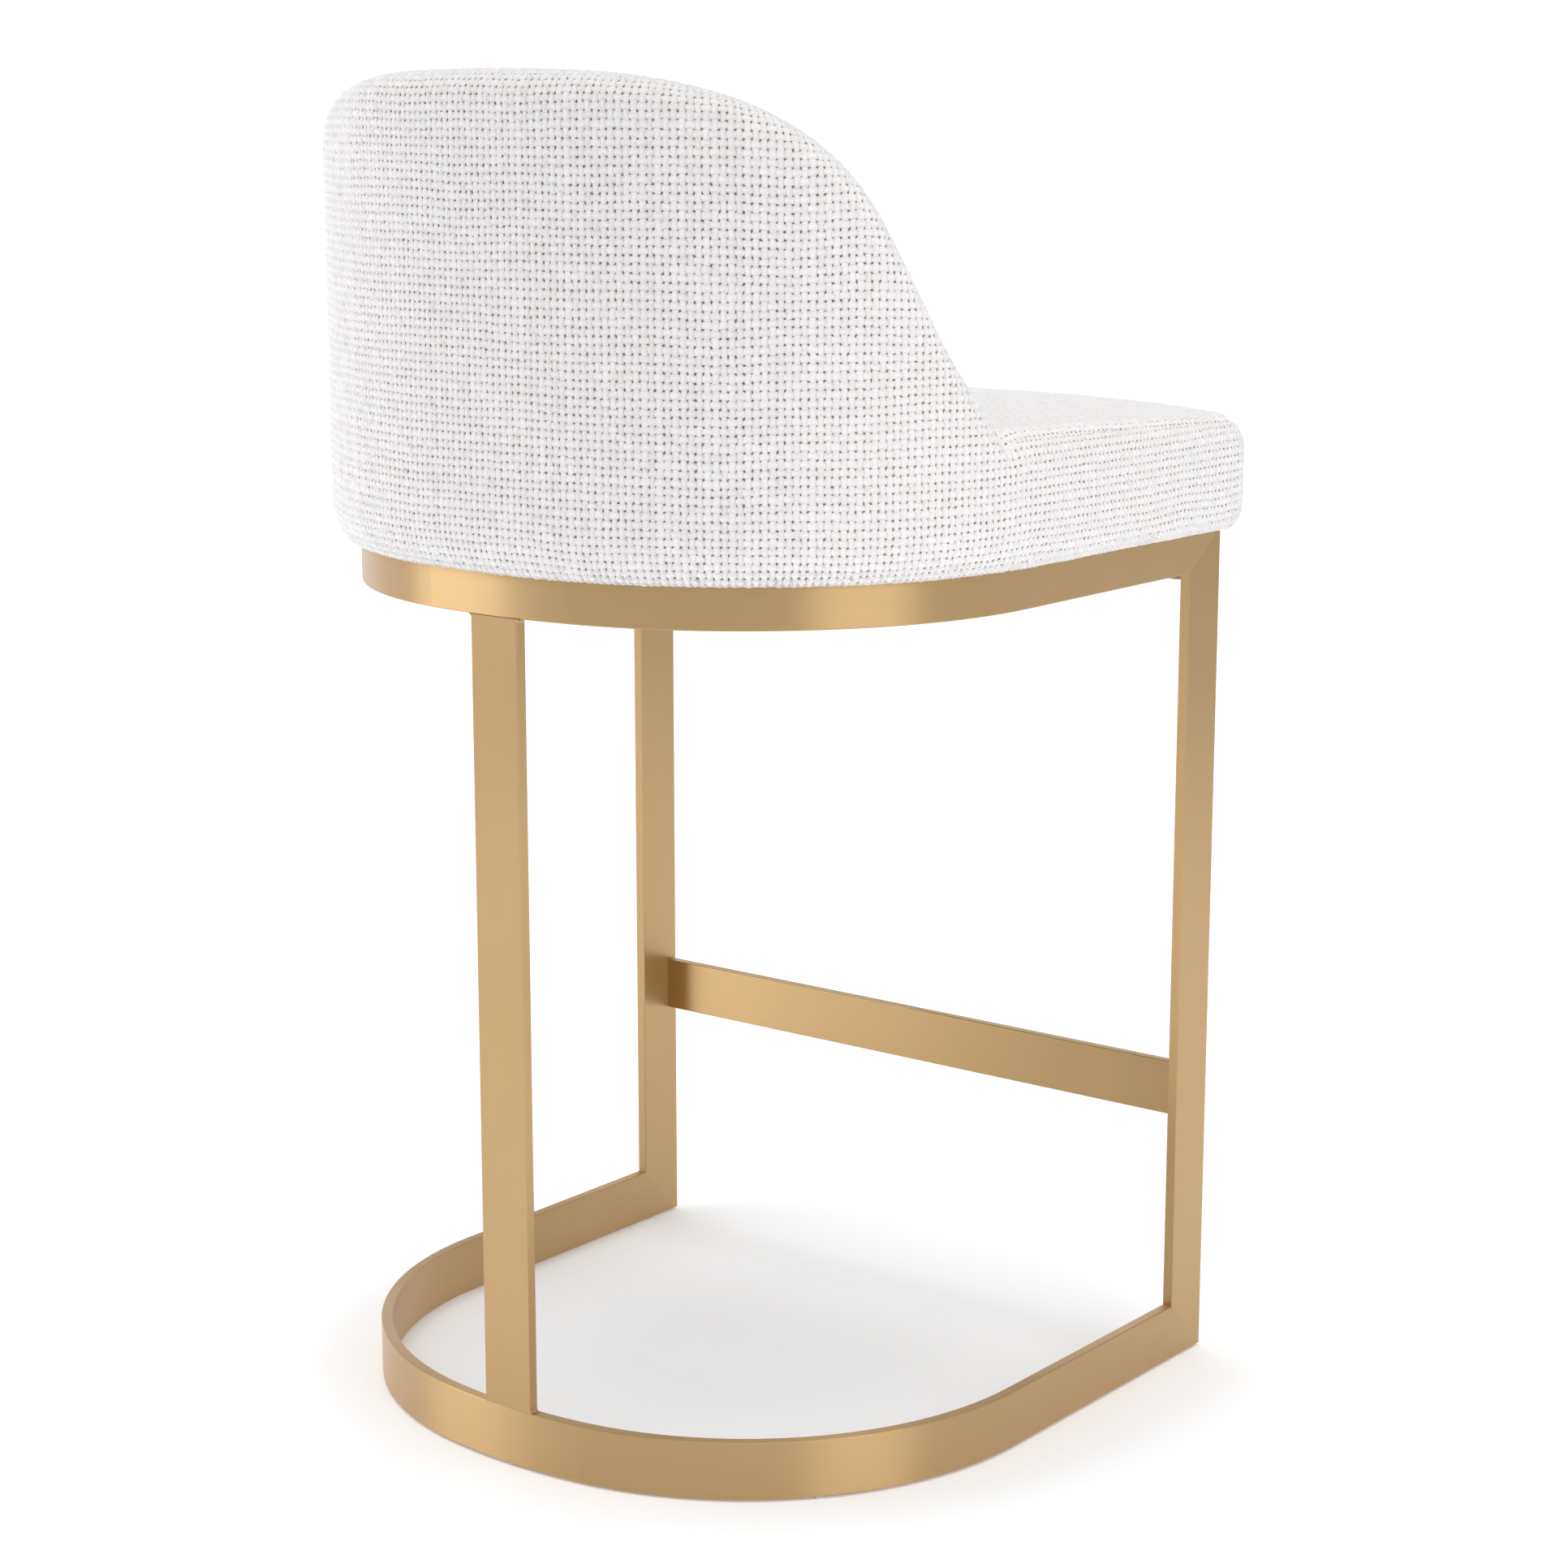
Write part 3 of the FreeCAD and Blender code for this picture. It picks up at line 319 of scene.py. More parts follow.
def cloth_object(name, points, faces_kept, weave_u, weave_v, closed, material):
    """A mesh of the kept quads of a grid, with the thread coordinates as its UV map."""
    rows, columns = points.shape[:2]
    index = np.arange(rows * columns).reshape(rows, columns)
    uv_quads = quad_corners(index)[faces_kept]
    if closed:
        index[:, -1] = index[:, 0]
    quads = quad_corners(index)[faces_kept]
    used, compact = np.unique(quads, return_inverse=True)
    compact = compact.reshape(quads.shape)
    mesh = bpy.data.meshes.new(name)
    mesh.vertices.add(len(used))
    mesh.vertices.foreach_set("co", points.reshape(-1, 3)[used].astype(np.float32).ravel())
    mesh.loops.add(quads.size)
    mesh.loops.foreach_set("vertex_index", compact.astype(np.int32).ravel())
    mesh.polygons.add(len(quads))
    mesh.polygons.foreach_set("loop_start", np.arange(0, quads.size, 4, dtype=np.int32))
    mesh.polygons.foreach_set("use_smooth", np.ones(len(quads), bool))
    mesh.update(calc_edges=True)
    uv = mesh.uv_layers.new(name="Weave")
    coords = np.stack([weave_u.ravel()[uv_quads], weave_v.ravel()[uv_quads]], axis=-1)
    uv.data.foreach_set("uv", coords.astype(np.float32).ravel())
    mesh.validate()
    mesh.materials.append(material)
    made = bpy.data.objects.new(name, mesh)
    bpy.context.scene.collection.objects.link(made)
    return made


def whole_quads(kept, near):
    """Quads with a kept corner, whose others are kept or near enough to be drawn to the edge."""
    fine = kept | near
    every = fine[:-1, :-1] & fine[:-1, 1:] & fine[1:, 1:] & fine[1:, :-1]
    some = kept[:-1, :-1] | kept[:-1, 1:] | kept[1:, 1:] | kept[1:, :-1]
    return every & some


SEAM_WIDTH = 4 * MM
SEAM_DEPTH = 1.3 * MM
SEAM_FLATTENS = 0.6  # share of the threads' relief that a seam takes away
SEAT_SEAM_PULL = 0.7  # how strongly the seat's seam pulls in, beside the back's
CREASE_BLEND = 7 * MM
CREASE_DEPTH = 2.0 * MM
CREASE_START = 10 * MM  # the crease deepens over this distance


def sewn(height, distance, depth=1.0):
    """Relief that sinks into a seam within a few millimetres of it."""
    near = np.exp(-((distance / SEAM_WIDTH) ** 2)) * depth
    return height * (1 - SEAM_FLATTENS * near) - SEAM_DEPTH * near


UNDER = 9 * MM  # a seam's allowance, which runs on under the outer cloth
UNDER_DEPTH = 1.6 * MM
UNDER_START = 3 * MM  # the allowance sinks over this distance
EDGE_DIP = 1 * MM  # the outer cloth's edge dips into the lining


def under(past):
    """How deep a cloth lies under its neighbour, by the distance past their seam."""
    return np.clip(past / UNDER_START, 0, 1) * UNDER_DEPTH


# The outer cloth: hem under the board, tuck, wall, and the rolls over the back's and seat's edges
TUCK_TURN = 86  # degrees
TUCK_IN = 4 * MM  # offset that the tuck curves in to
TUCK_RISE = 33 * MM  # height of the tuck's start over the ring
TUCK_DROP = 34 * MM
HEM_E = (3.0, 1.2, -1.0, -4.0, -18.0)  # millimetres
HEM_Z = (-0.7, 0.1, 0.6, 0.75, 0.75)


def tuck_profile(power):
    """The cloth's section below the wall: distance down along it, with its offset and height."""
    turn = np.radians(np.linspace(0, TUCK_TURN, 60))
    tuck_e = TUCK_IN + (COVER - TUCK_IN) * np.cos(turn) ** (2 / power)
    tuck_z = RING_TOP + TUCK_RISE - TUCK_DROP * np.sin(turn) ** (2 / power)
    hem_e = np.array(HEM_E) * MM
    hem_z = RING_TOP + np.array(HEM_Z) * MM
    e, z = np.concatenate([tuck_e, hem_e]), np.concatenate([tuck_z, hem_z])
    run = np.concatenate([[0.0], np.cumsum(np.hypot(np.diff(e), np.diff(z)))])
    return run, e, z


TUCK_RUN, TUCK_E, TUCK_Z = tuck_profile(2)
FRONT_TUCK_RUN, FRONT_TUCK_E, FRONT_TUCK_Z = tuck_profile(3.2)
TUCK_TOP = TUCK_Z[0]
EVEN_BELOW = 30 * MM  # rows keep their even spacing further down the tuck than this
SQUARE_FROM, SQUARE_OVER = 50 * MM, 200 * MM  # the tuck grows squarer forward of this y, over this
BUMPY_TOP, BUMPY_OVER = 12 * MM, 8 * MM  # the lower edge's stronger relief, by height over the ring
BUMPIER = 0.4
SUNK_BELOW_SEAT = 14 * MM


def outer_cloth(material):
    """The cloth round the outside, as one closed loop with its ends on the middle of the front."""
    rng = np.random.default_rng(11)
    columns = np.arange(-THREADS_ROUND, THREADS_ROUND + 1)
    lowest = math.ceil((TUCK_TOP - TUCK_RUN[-1]) / ROW_STEP)
    rows = np.arange(lowest, int((cover_high.z + 60 * MM) / ROW_STEP))
    weave_u, weave_v, u, v, height = weave_grid(rng, columns, rows, closed=True)
    v = np.where(weave_v * ROW_PITCH < TUCK_TOP - EVEN_BELOW, weave_v * ROW_PITCH, v)
    wing_z = np.interp(u, wing_line.u, wing_line.v, left=0, right=0)
    seat_z = np.interp(u, seat_line.u, seat_line.v)
    beyond = v > np.maximum(wing_z, seat_z)
    wing_at, wing_far = np.zeros(u.shape), np.full(u.shape, FAR)
    seat_at, seat_far = np.zeros(u.shape), np.full(u.shape, FAR)
    wing_at[beyond], wing_far[beyond] = wing_line.nearest(u[beyond], v[beyond])
    seat_at[beyond], seat_far[beyond] = seat_line.nearest(u[beyond], v[beyond])
    # The two rolls run into each other in a crease at the foot of the back's edge.
    lean = np.clip((seat_far - wing_far) / (2 * CREASE_BLEND) + 0.5, 0, 1)
    lean = np.where(beyond, lean * lean * (3 - 2 * lean), 0.0)
    on_seat = beyond & (lean < 0.5)
    on_wing = beyond & ~on_seat
    kept = (
        ~beyond
        | (on_seat & (seat_far < SEAT_SEAM))
        | ((lean > 0.05) & (wing_far < ROLL_SEAM))
    )
    near = (on_seat & (seat_far < SEAT_SEAM + STEP)) | (on_wing & (wing_far < ROLL_SEAM + STEP))
    # On the wall
    down = np.clip(TUCK_TOP - v, 0, TUCK_RUN[-1])
    # The tuck is squarer towards the front.
    square = np.clip((SQUARE_FROM - plan(u, COVER)[1]) / SQUARE_OVER, 0, 1)
    front_down = down * FRONT_TUCK_RUN[-1] / TUCK_RUN[-1]
    wall_e = np.interp(down, TUCK_RUN, TUCK_E) * (1 - square)
    wall_e += np.interp(front_down, FRONT_TUCK_RUN, FRONT_TUCK_E) * square
    tuck_z = np.interp(down, TUCK_RUN, TUCK_Z) * (1 - square)
    tuck_z += np.interp(front_down, FRONT_TUCK_RUN, FRONT_TUCK_Z) * square
    wall_z = np.where(v < TUCK_TOP, tuck_z, v)
    # Hems meet in a mitre at the front corners.
    from_corner = np.maximum(STARTS[3] - np.abs(u), np.abs(u) - STARTS[4])
    wall_e = np.maximum(wall_e, -FRONT_CORNER - np.maximum(from_corner, 0))

    def laid(past):
        """The cloth's offsets, heights and points, when it runs on past its seams by a distance."""
        # Over the back's edge
        run = np.clip(wing_far, 0, ROLL_SEAM + past)
        wing_u, wing_v = wing_line.point(wing_at, np.interp(run, ROLL_RUN, ROLL_RISE))
        wing_e = COVER - np.interp(run, ROLL_RUN, ROLL_IN)
        # Over the seat's edge
        turn = np.clip(seat_far, 0, SEAT_SEAM + past) / SEAT_ROLL
        seat_u, seat_v = seat_line.point(seat_at, SEAT_ROLL * np.sin(turn))
        seat_e = COVER - SEAT_ROLL * (1 - np.cos(turn))
        s = np.where(beyond, seat_u + (wing_u - seat_u) * lean, u)
        z = np.where(beyond, seat_v + (wing_v - seat_v) * lean, wall_z)
        e = np.where(beyond, seat_e + (wing_e - seat_e) * lean, wall_e)
        x, y = plan(s, e)
        points = np.stack([x, y, z], axis=-1)
        points[:, -1] = points[:, 0]
        return e, z, points

    e, z, points = laid(0)
    x, y = points[..., 0], points[..., 1]
    to_seam = np.where(
        on_seat, SEAT_SEAM - seat_far, np.where(on_wing, ROLL_SEAM - wing_far, FAR)
    )
    height = sewn(height, np.maximum(to_seam, 0), np.where(on_seat, SEAT_SEAM_PULL, 1.0))
    crease = np.exp(-(((seat_far - wing_far) / CREASE_BLEND) ** 2))
    started = np.clip(np.minimum(seat_far, wing_far) / CREASE_START, 0, 1)
    height = np.where(beyond, height - CREASE_DEPTH * crease * started, height)
    height = height - np.where(on_wing & (wing_far > ROLL_SEAM), EDGE_DIP, 0.0)
    # The relief is stronger near the lower edge and weaker on the hem.
    low = np.clip((RING_TOP + BUMPY_TOP - z) / BUMPY_OVER, 0, 1)
    on_hem = np.where(z < RING_TOP + 2 * MM, height * 0.5, height)
    height = np.where(e < 0.5 * MM, on_hem, height * (1 + BUMPIER * low))
    sunk = on_wing & (z < seat_height(x, y) - SUNK_BELOW_SEAT) & (e < 0)
    # s runs clockwise seen from above, so the grid's own normal points inwards.
    points = points - grid_normals(laid(3 * STEP)[2], closed=True) * height[..., None]
    faces = whole_quads(kept & ~sunk, near & ~sunk)
    return cloth_object("outer_cover_cloth", points, faces, weave_u, weave_v, True, material)


LINING_LOWEST = 676 * MM
SWELL = 5 * MM  # the padding's swell between the seat and the roll
SWELL_FROM = 690 * MM
SWELL_LEAST = 20 * MM  # least height that it is spread over
SWELL_FULL = 120 * MM  # height of padding from which it is full
LINING_HIDDEN = 700 * MM  # lining far below this height or the seat's top is left out
LINING_SUNK = 16 * MM


def back_lining(material):
    """The cloth on the back's inside, from under the seat's top up and over to the seam."""
    rng = np.random.default_rng(12)
    inner = COVER - WALL
    fine_s = np.arange(-STARTS[3], STARTS[3], FINE)
    fine_x, fine_y = plan(fine_s, inner)
    fine_u = np.concatenate([[0.0], np.cumsum(np.hypot(np.diff(fine_x), np.diff(fine_y)))])
    fine_u -= np.interp(0.0, fine_s, fine_u)
    line = Line(np.interp(wing_line.u, fine_s, fine_u), wing_line.v)
    widest = int(line.u.max() / STEP)
    columns = np.arange(-widest, widest + 1)
    rows = np.arange(int(LINING_LOWEST / ROW_STEP), int((cover_high.z + 30 * MM) / ROW_STEP))
    weave_u, weave_v, u, v, height = weave_grid(rng, columns, rows, closed=False)
    line_z = np.interp(u, line.u, line.v, left=0, right=0)
    beyond = v > line_z
    at, far = np.zeros(u.shape), np.full(u.shape, FAR)
    at[beyond], far[beyond] = line.nearest(u[beyond], v[beyond])
    limit = ROLL_LENGTH - ROLL_SEAM
    kept = ~beyond | (far < limit + UNDER)
    near = beyond & (far < limit + UNDER + STEP)
    run = ROLL_LENGTH - np.clip(far, 0, limit + UNDER)
    at_outside = np.interp(at, line.at, wing_line.at)
    roll_s, roll_z = wing_line.point(at_outside, np.interp(run, ROLL_RUN, ROLL_RISE))
    s = np.where(beyond, roll_s, np.interp(u, fine_u, fine_s))
    z = np.where(beyond, roll_z, v)
    tall = line_z - SWELL_FROM
    up = np.clip((v - SWELL_FROM) / np.maximum(tall, SWELL_LEAST), 0, 1)
    swell = SWELL * np.sin(math.pi * up) ** 0.8 * np.clip(tall / SWELL_FULL, 0, 1)
    e = np.where(beyond, COVER - np.interp(run, ROLL_RUN, ROLL_IN), inner - swell)
    x, y = plan(s, e)
    points = np.stack([x, y, z], axis=-1)
    height = sewn(height, np.where(beyond, np.maximum(limit - far, 0), FAR)) - under(far - limit)
    points = points + grid_normals(points, closed=False) * height[..., None]
    sunk = z < np.minimum(seat_height(x, y), LINING_HIDDEN) - LINING_SUNK
    faces = whole_quads(kept & ~sunk, near & ~sunk)
    return cloth_object("back_lining_cloth", points, faces, weave_u, weave_v, False, material)


SEAT_CLOTH_REACH = 300 * MM  # half the width of the grid that the seat's top is cut from
SEAT_CLOTH_FRONT, SEAT_CLOTH_BACK = -290 * MM, 250 * MM
INSIDE_BACK_Y = 92 * MM  # behind this the seat's top ends inside the back
INSIDE_BACK = 8 * MM


def seat_top(material):
    """The seat's top cloth, crowned, rolled down at its edges to the seam with the outer cloth."""
    rng = np.random.default_rng(13)
    widest = int(SEAT_CLOTH_REACH / STEP)
    columns = np.arange(-widest, widest + 1)
    rows = np.arange(int(SEAT_CLOTH_FRONT / ROW_STEP), int(SEAT_CLOTH_BACK / ROW_STEP))
    weave_u, weave_v, u, v, height = weave_grid(rng, columns, rows, closed=False)
    ring_x, ring_y = plan(seat_s, COVER - SEAT_ROLL)
    rim = Line(ring_x, ring_y)
    outside = (offset_of(u, v) > COVER - SEAT_ROLL) | (v < FRONT_Y - (COVER - SEAT_ROLL))
    at, far = np.zeros(u.shape), np.full(u.shape, -FAR)
    at[outside], far[outside] = rim.nearest(u[outside], v[outside])
    limit = SEAT_ROLL_LENGTH - SEAT_SEAM
    turn = np.clip(far, 0, limit + UNDER) / SEAT_ROLL
    roll_x, roll_y = rim.point(at, SEAT_ROLL * np.sin(turn))
    edge_x, edge_y = rim.point(at, 0.0)
    rolled = far > 0
    x = np.where(rolled, roll_x, u)
    y = np.where(rolled, roll_y, v)
    flat = seat_height(np.where(rolled, edge_x, u), np.where(rolled, edge_y, v))
    z = flat - np.where(rolled, SEAT_ROLL * (1 - np.cos(turn)), 0.0)
    points = np.stack([x, y, z], axis=-1)
    to_seam = np.where(rolled, np.maximum(limit - far, 0), FAR)
    height = sewn(height, to_seam, SEAT_SEAM_PULL) - under(far - limit)
    points = points + grid_normals(points, closed=False) * height[..., None]
    hidden = (y > INSIDE_BACK_Y) & (offset_of(x, y) > COVER - WALL + INSIDE_BACK)
    kept = (far < limit + UNDER) & ~hidden
    near = (far < limit + UNDER + STEP) & ~hidden
    faces = whole_quads(kept, near)
    return cloth_object("seat_top_cloth", points, faces, weave_u, weave_v, False, material)


# Materials


class Nodes:
    """Shorthand for a material's node tree. Inputs are values or other nodes' outputs."""

    def __init__(self, name):
        self.material = bpy.data.materials.new(name)
        self.material.use_nodes = True
        self.tree = self.material.node_tree
        self.shader = self.tree.nodes["Principled BSDF"]

    def add(self, kind, inputs=(), **settings):
        node = self.tree.nodes.new(kind)
        for key, value in settings.items():
            setattr(node, key, value)
        for key, value in dict(inputs).items():
            self.put(node.inputs[key], value)
        return node

    def put(self, socket, value):
        if isinstance(value, bpy.types.NodeSocket):
            self.tree.links.new(value, socket)
        else:
            socket.default_value = value

    def math(self, operation, a, b=0.0):
        return self.add("ShaderNodeMath", {0: a, 1: b}, operation=operation).outputs[0]

    def scaled(self, vector, factors):
        node = self.add("ShaderNodeVectorMath", {0: vector, 1: factors}, operation="MULTIPLY")
        return node.outputs[0]

    def ramp(self, value, low, high, to_low=0.0, to_high=1.0):
        """A smooth step from to_low at low to to_high at high."""
        inputs = {"Value": value, "From Min": low, "From Max": high}
        inputs.update({"To Min": to_low, "To Max": to_high})
        return self.add("ShaderNodeMapRange", inputs, interpolation_type="SMOOTHSTEP").outputs[0]

    def mix(self, factor, a, b):
        node = self.add("ShaderNodeMix", data_type="RGBA")
        self.put(node.inputs[0], factor)
        self.put(node.inputs[6], a)
        self.put(node.inputs[7], b)
        return node.outputs[2]

    def noise(self, vector, scale, detail=2.0, roughness=0.5):
        inputs = {"Vector": vector, "Scale": scale, "Detail": detail, "Roughness": roughness}
        return self.add("ShaderNodeTexNoise", inputs).outputs[0]


FABRIC_PALE = (0.930, 0.917, 0.911, 1.0)
FABRIC_DULL = (0.868, 0.850, 0.842, 1.0)
# Painted shade along the lines where one thread dives under its neighbour
FABRIC_SHADE_LINE = (0.420, 0.330, 0.300, 1.0)
# Painted shade in the gaps where four crossings meet, warmer in random patches
FABRIC_GAP_SHADE = (0.180, 0.105, 0.088, 1.0)
FABRIC_GAP_SHADE_WARM = (0.300, 0.135, 0.085, 1.0)
# Lengths here are in thread pitches
UNEVEN_EDGES = 0.16
SLIT_SHORTENING = 0.62  # a gap's width over its length
GAP_SIZES = (0.072, 0.126)
# Strengths of the painted shade in the gaps and along the dive lines
GAP_SHADE_STRENGTH = 0.90
SHADE_LINE_STRENGTH = 0.46
FIBRES_ALONG, FIBRES_ACROSS = 2.2, 15.0  # scale of the fibres along and across a thread


def fabric(name):
    """Plain weave of thick off-white yarn with gaps at the crossings, in thread coordinates."""
    n = Nodes(name)
    uv = n.add("ShaderNodeUVMap", uv_map="Weave").outputs[0]
    place = n.add("ShaderNodeTexCoord").outputs["Object"]
    split = n.add("ShaderNodeSeparateXYZ", {0: uv})
    u, v = split.outputs[0], split.outputs[1]
    fu, fv = n.math("FRACT", u), n.math("FRACT", v)
    cell_u, cell_v = n.math("FLOOR", u), n.math("FLOOR", v)
    parity = n.math("FLOORED_MODULO", n.math("ADD", cell_u, cell_v), 2.0)
    # Distances to the crossing's sides, 0 at a side and 0.5 in the middle
    du, dv = n.math("PINGPONG", fu, 0.5), n.math("PINGPONG", fv, 0.5)
    flip = n.math("SUBTRACT", 1.0, parity)
    across = n.math("ADD", n.math("MULTIPLY", parity, dv), n.math("MULTIPLY", flip, du))
    along = n.math("ADD", n.math("MULTIPLY", parity, du), n.math("MULTIPLY", flip, dv))

    def chance(a, b, kind):
        at = n.add("ShaderNodeCombineXYZ", {0: a, 1: b, 2: kind}).outputs[0]
        return n.add("ShaderNodeTexWhiteNoise", {"Vector": at}, noise_dimensions="3D").outputs[0]

    round_u, round_v = n.math("ROUND", u), n.math("ROUND", v)
    wobble = n.noise(uv, 3.1, 2.0)
    swing = n.math("MULTIPLY", n.math("SUBTRACT", wobble, 0.5), UNEVEN_EDGES)
    to_corner = n.math("SQRT", n.math("ADD", n.math("POWER", du, 2.0), n.math("POWER", dv, 2.0)))
    to_corner = n.math("ADD", to_corner, swing)
    # Gaps are slits, each turned its own way
    slant = n.math("MULTIPLY", chance(round_u, round_v, 9.0), math.pi)
    off_u, off_v = n.math("SUBTRACT", u, round_u), n.math("SUBTRACT", v, round_v)
    turn_u, turn_v = n.math("COSINE", slant), n.math("SINE", slant)
    slit = n.math("ADD", n.math("MULTIPLY", off_u, turn_u), n.math("MULTIPLY", off_v, turn_v))
    wide = n.math("SUBTRACT", n.math("MULTIPLY", off_v, turn_u), n.math("MULTIPLY", off_u, turn_v))
    squeezed = n.math("POWER", n.math("MULTIPLY", slit, SLIT_SHORTENING), 2.0)
    from_slit = n.math("ADD", squeezed, n.math("POWER", wide, 2.0))
    from_slit = n.math("ADD", n.math("SQRT", from_slit), swing)
    hole_size = n.ramp(chance(round_u, round_v, 7.0), 0.05, 0.9, *GAP_SIZES)
    hole = n.ramp(n.math("DIVIDE", from_slit, hole_size), 0.60, 1.20, 1.0, 0.0)
    # Painted shade along the line where one thread dives under its neighbour, of uneven strength
    upright = n.math(
        "MULTIPLY",
        n.ramp(n.math("ADD", du, n.math("MULTIPLY", swing, 0.3)), 0.02, 0.10, 1.0, 0.0),
        n.ramp(chance(round_u, cell_v, 3.0), 0.15, 0.95, 0.12, 1.0),
    )
    level = n.math(
        "MULTIPLY",
        n.ramp(n.math("ADD", dv, n.math("MULTIPLY", swing, 0.3)), 0.02, 0.10, 1.0, 0.0),
        n.ramp(chance(cell_u, round_v, 5.0), 0.15, 0.95, 0.06, 0.75),
    )
    dive_shade = n.math("MAXIMUM", upright, level)
    dive_shade = n.math("MULTIPLY", dive_shade, n.ramp(to_corner, 0.14, 0.38, 1.0, 0.14))
    # Fibres run along the thread on top
    level_fibres = n.noise(n.scaled(uv, (FIBRES_ALONG, FIBRES_ACROSS, 1.0)), 1.0, 3.0)
    upright_fibres = n.noise(n.scaled(uv, (FIBRES_ACROSS, FIBRES_ALONG, 1.0)), 1.0, 3.0)
    fibres = n.add("ShaderNodeMix", {0: parity, 2: upright_fibres, 3: level_fibres}).outputs[0]
    slub = n.noise(uv, 0.55, 2.0)
    patches = n.noise(place, 9.0, 2.0)
    tone = n.math("ADD", n.math("MULTIPLY", fibres, 0.55), n.math("MULTIPLY", slub, 0.45))
    lighter = n.math("SUBTRACT", chance(cell_u, cell_v, 0.0), 0.5)
    tone = n.math("ADD", tone, n.math("MULTIPLY", lighter, 0.26))
    # Painted shade on each thread's sides and a painted highlight along its middle
    tone = n.math("ADD", tone, n.ramp(across, 0.04, 0.34, -0.16, 0.06))
    colour = n.mix(n.ramp(tone, 0.20, 0.76), FABRIC_DULL, FABRIC_PALE)
    # Painted shade lines where the threads dive under
    colour = n.mix(n.math("MULTIPLY", dive_shade, SHADE_LINE_STRENGTH), colour, FABRIC_SHADE_LINE)
    # The gaps are painted dark with painted shade, warmer in random patches
    gap_shade = n.mix(n.ramp(patches, 0.35, 0.65), FABRIC_GAP_SHADE, FABRIC_GAP_SHADE_WARM)
    colour = n.mix(n.math("MULTIPLY", hole, GAP_SHADE_STRENGTH), colour, gap_shade)
    n.put(n.shader.inputs["Base Color"], colour)
    # Height for the bump: round threads, sunk gaps, fine fibres
    rounded = n.math("POWER", n.math("SINE", n.math("MULTIPLY", across, math.pi)), 0.6)
    arched = n.ramp(along, 0.0, 0.42, 0.35, 1.0)
    height = n.math("MULTIPLY", rounded, arched)
    height = n.math("SUBTRACT", height, n.math("MULTIPLY", hole, 0.5))
    height = n.math("ADD", height, n.math("MULTIPLY", fibres, 0.35))
    bump = n.add("ShaderNodeBump", {"Strength": 0.65, "Distance": 0.0011, "Height": height})
    n.put(n.shader.inputs["Normal"], bump.outputs[0])
    n.put(n.shader.inputs["Roughness"], n.ramp(fibres, 0.2, 0.8, 0.95, 0.80))
    n.shader.inputs["Specular IOR Level"].default_value = 0.25
    n.shader.inputs["Sheen Weight"].default_value = 0.06
    n.shader.inputs["Sheen Roughness"].default_value = 0.5
    return n.material


def brushed(name, grain, colour, streak, rough, turned=0.0, lacquer=0.0, spread=0.8):
    """Metal brushed one way. grain is the noise's scale along X, Y and Z, small along the lines.

    turned rotates the stretched highlights, spread says how stretched they are, and lacquer is the
    clear coat's weight.
    """
    n = Nodes(name)
    place = n.add("ShaderNodeTexCoord").outputs["Object"]
    fine = n.noise(n.scaled(place, grain), 1.0, 4.0, 0.7)
    broad = n.noise(place, 7.0, 2.0)
    tone = n.math("ADD", n.math("MULTIPLY", fine, 0.75), n.math("MULTIPLY", broad, 0.25))
    n.put(n.shader.inputs["Base Color"], n.mix(n.ramp(tone, 0.30, 0.70), streak, colour))
    n.put(n.shader.inputs["Roughness"], n.ramp(fine, 0.25, 0.75, rough - 0.05, rough + 0.07))
    bump = n.add("ShaderNodeBump", {"Strength": 0.10, "Distance": 0.0001, "Height": fine})
    n.put(n.shader.inputs["Normal"], bump.outputs[0])
    n.shader.inputs["Metallic"].default_value = 1.0
    n.shader.inputs["Anisotropic"].default_value = spread
    n.shader.inputs["Coat Weight"].default_value = lacquer
    n.shader.inputs["Coat Roughness"].default_value = 0.3
    n.shader.inputs["Anisotropic Rotation"].default_value = turned
    tangent = n.add("ShaderNodeTangent", direction_type="RADIAL", axis="Z")
    n.put(n.shader.inputs["Tangent"], tangent.outputs[0])
    return n.material


def plywood():
    """Pale wood with grain along X and plies by height, 1.5 mm each pair."""
    n = Nodes("plywood")
    place = n.add("ShaderNodeTexCoord").outputs["Object"]
    grain = n.noise(n.scaled(place, (9, 120, 160)), 1.0, 4.0)
    height = n.add("ShaderNodeSeparateXYZ", {0: place}).outputs[2]
    plies = n.math("SINE", n.math("MULTIPLY", height, 4200.0))
    tone = n.math("ADD", grain, n.math("MULTIPLY", plies, 0.08))
    n.put(n.shader.inputs["Base Color"], n.mix(tone, (0.36, 0.22, 0.11, 1), (0.66, 0.47, 0.28, 1)))
    bump = n.add("ShaderNodeBump", {"Strength": 0.2, "Distance": 0.0003, "Height": grain})
    n.put(n.shader.inputs["Normal"], bump.outputs[0])
    n.shader.inputs["Roughness"].default_value = 0.65
    return n.material


def dust_cloth():
    """Black bonded cloth, speckled by its fibres and dimpled all over."""
    n = Nodes("dust_cloth")
    place = n.add("ShaderNodeTexCoord").outputs["Object"]
    speck = n.noise(place, 900.0, 2.0)
    dimples = n.add("ShaderNodeTexVoronoi", {"Vector": place, "Scale": 420.0}).outputs[0]
    colour = n.mix(speck, (0.008, 0.008, 0.009, 1), (0.045, 0.045, 0.048, 1))
    n.put(n.shader.inputs["Base Color"], colour)
    bump = n.add("ShaderNodeBump", {"Strength": 0.5, "Distance": 0.0003, "Height": dimples})
    n.put(n.shader.inputs["Normal"], bump.outputs[0])
    n.shader.inputs["Roughness"].default_value = 0.9
    return n.material


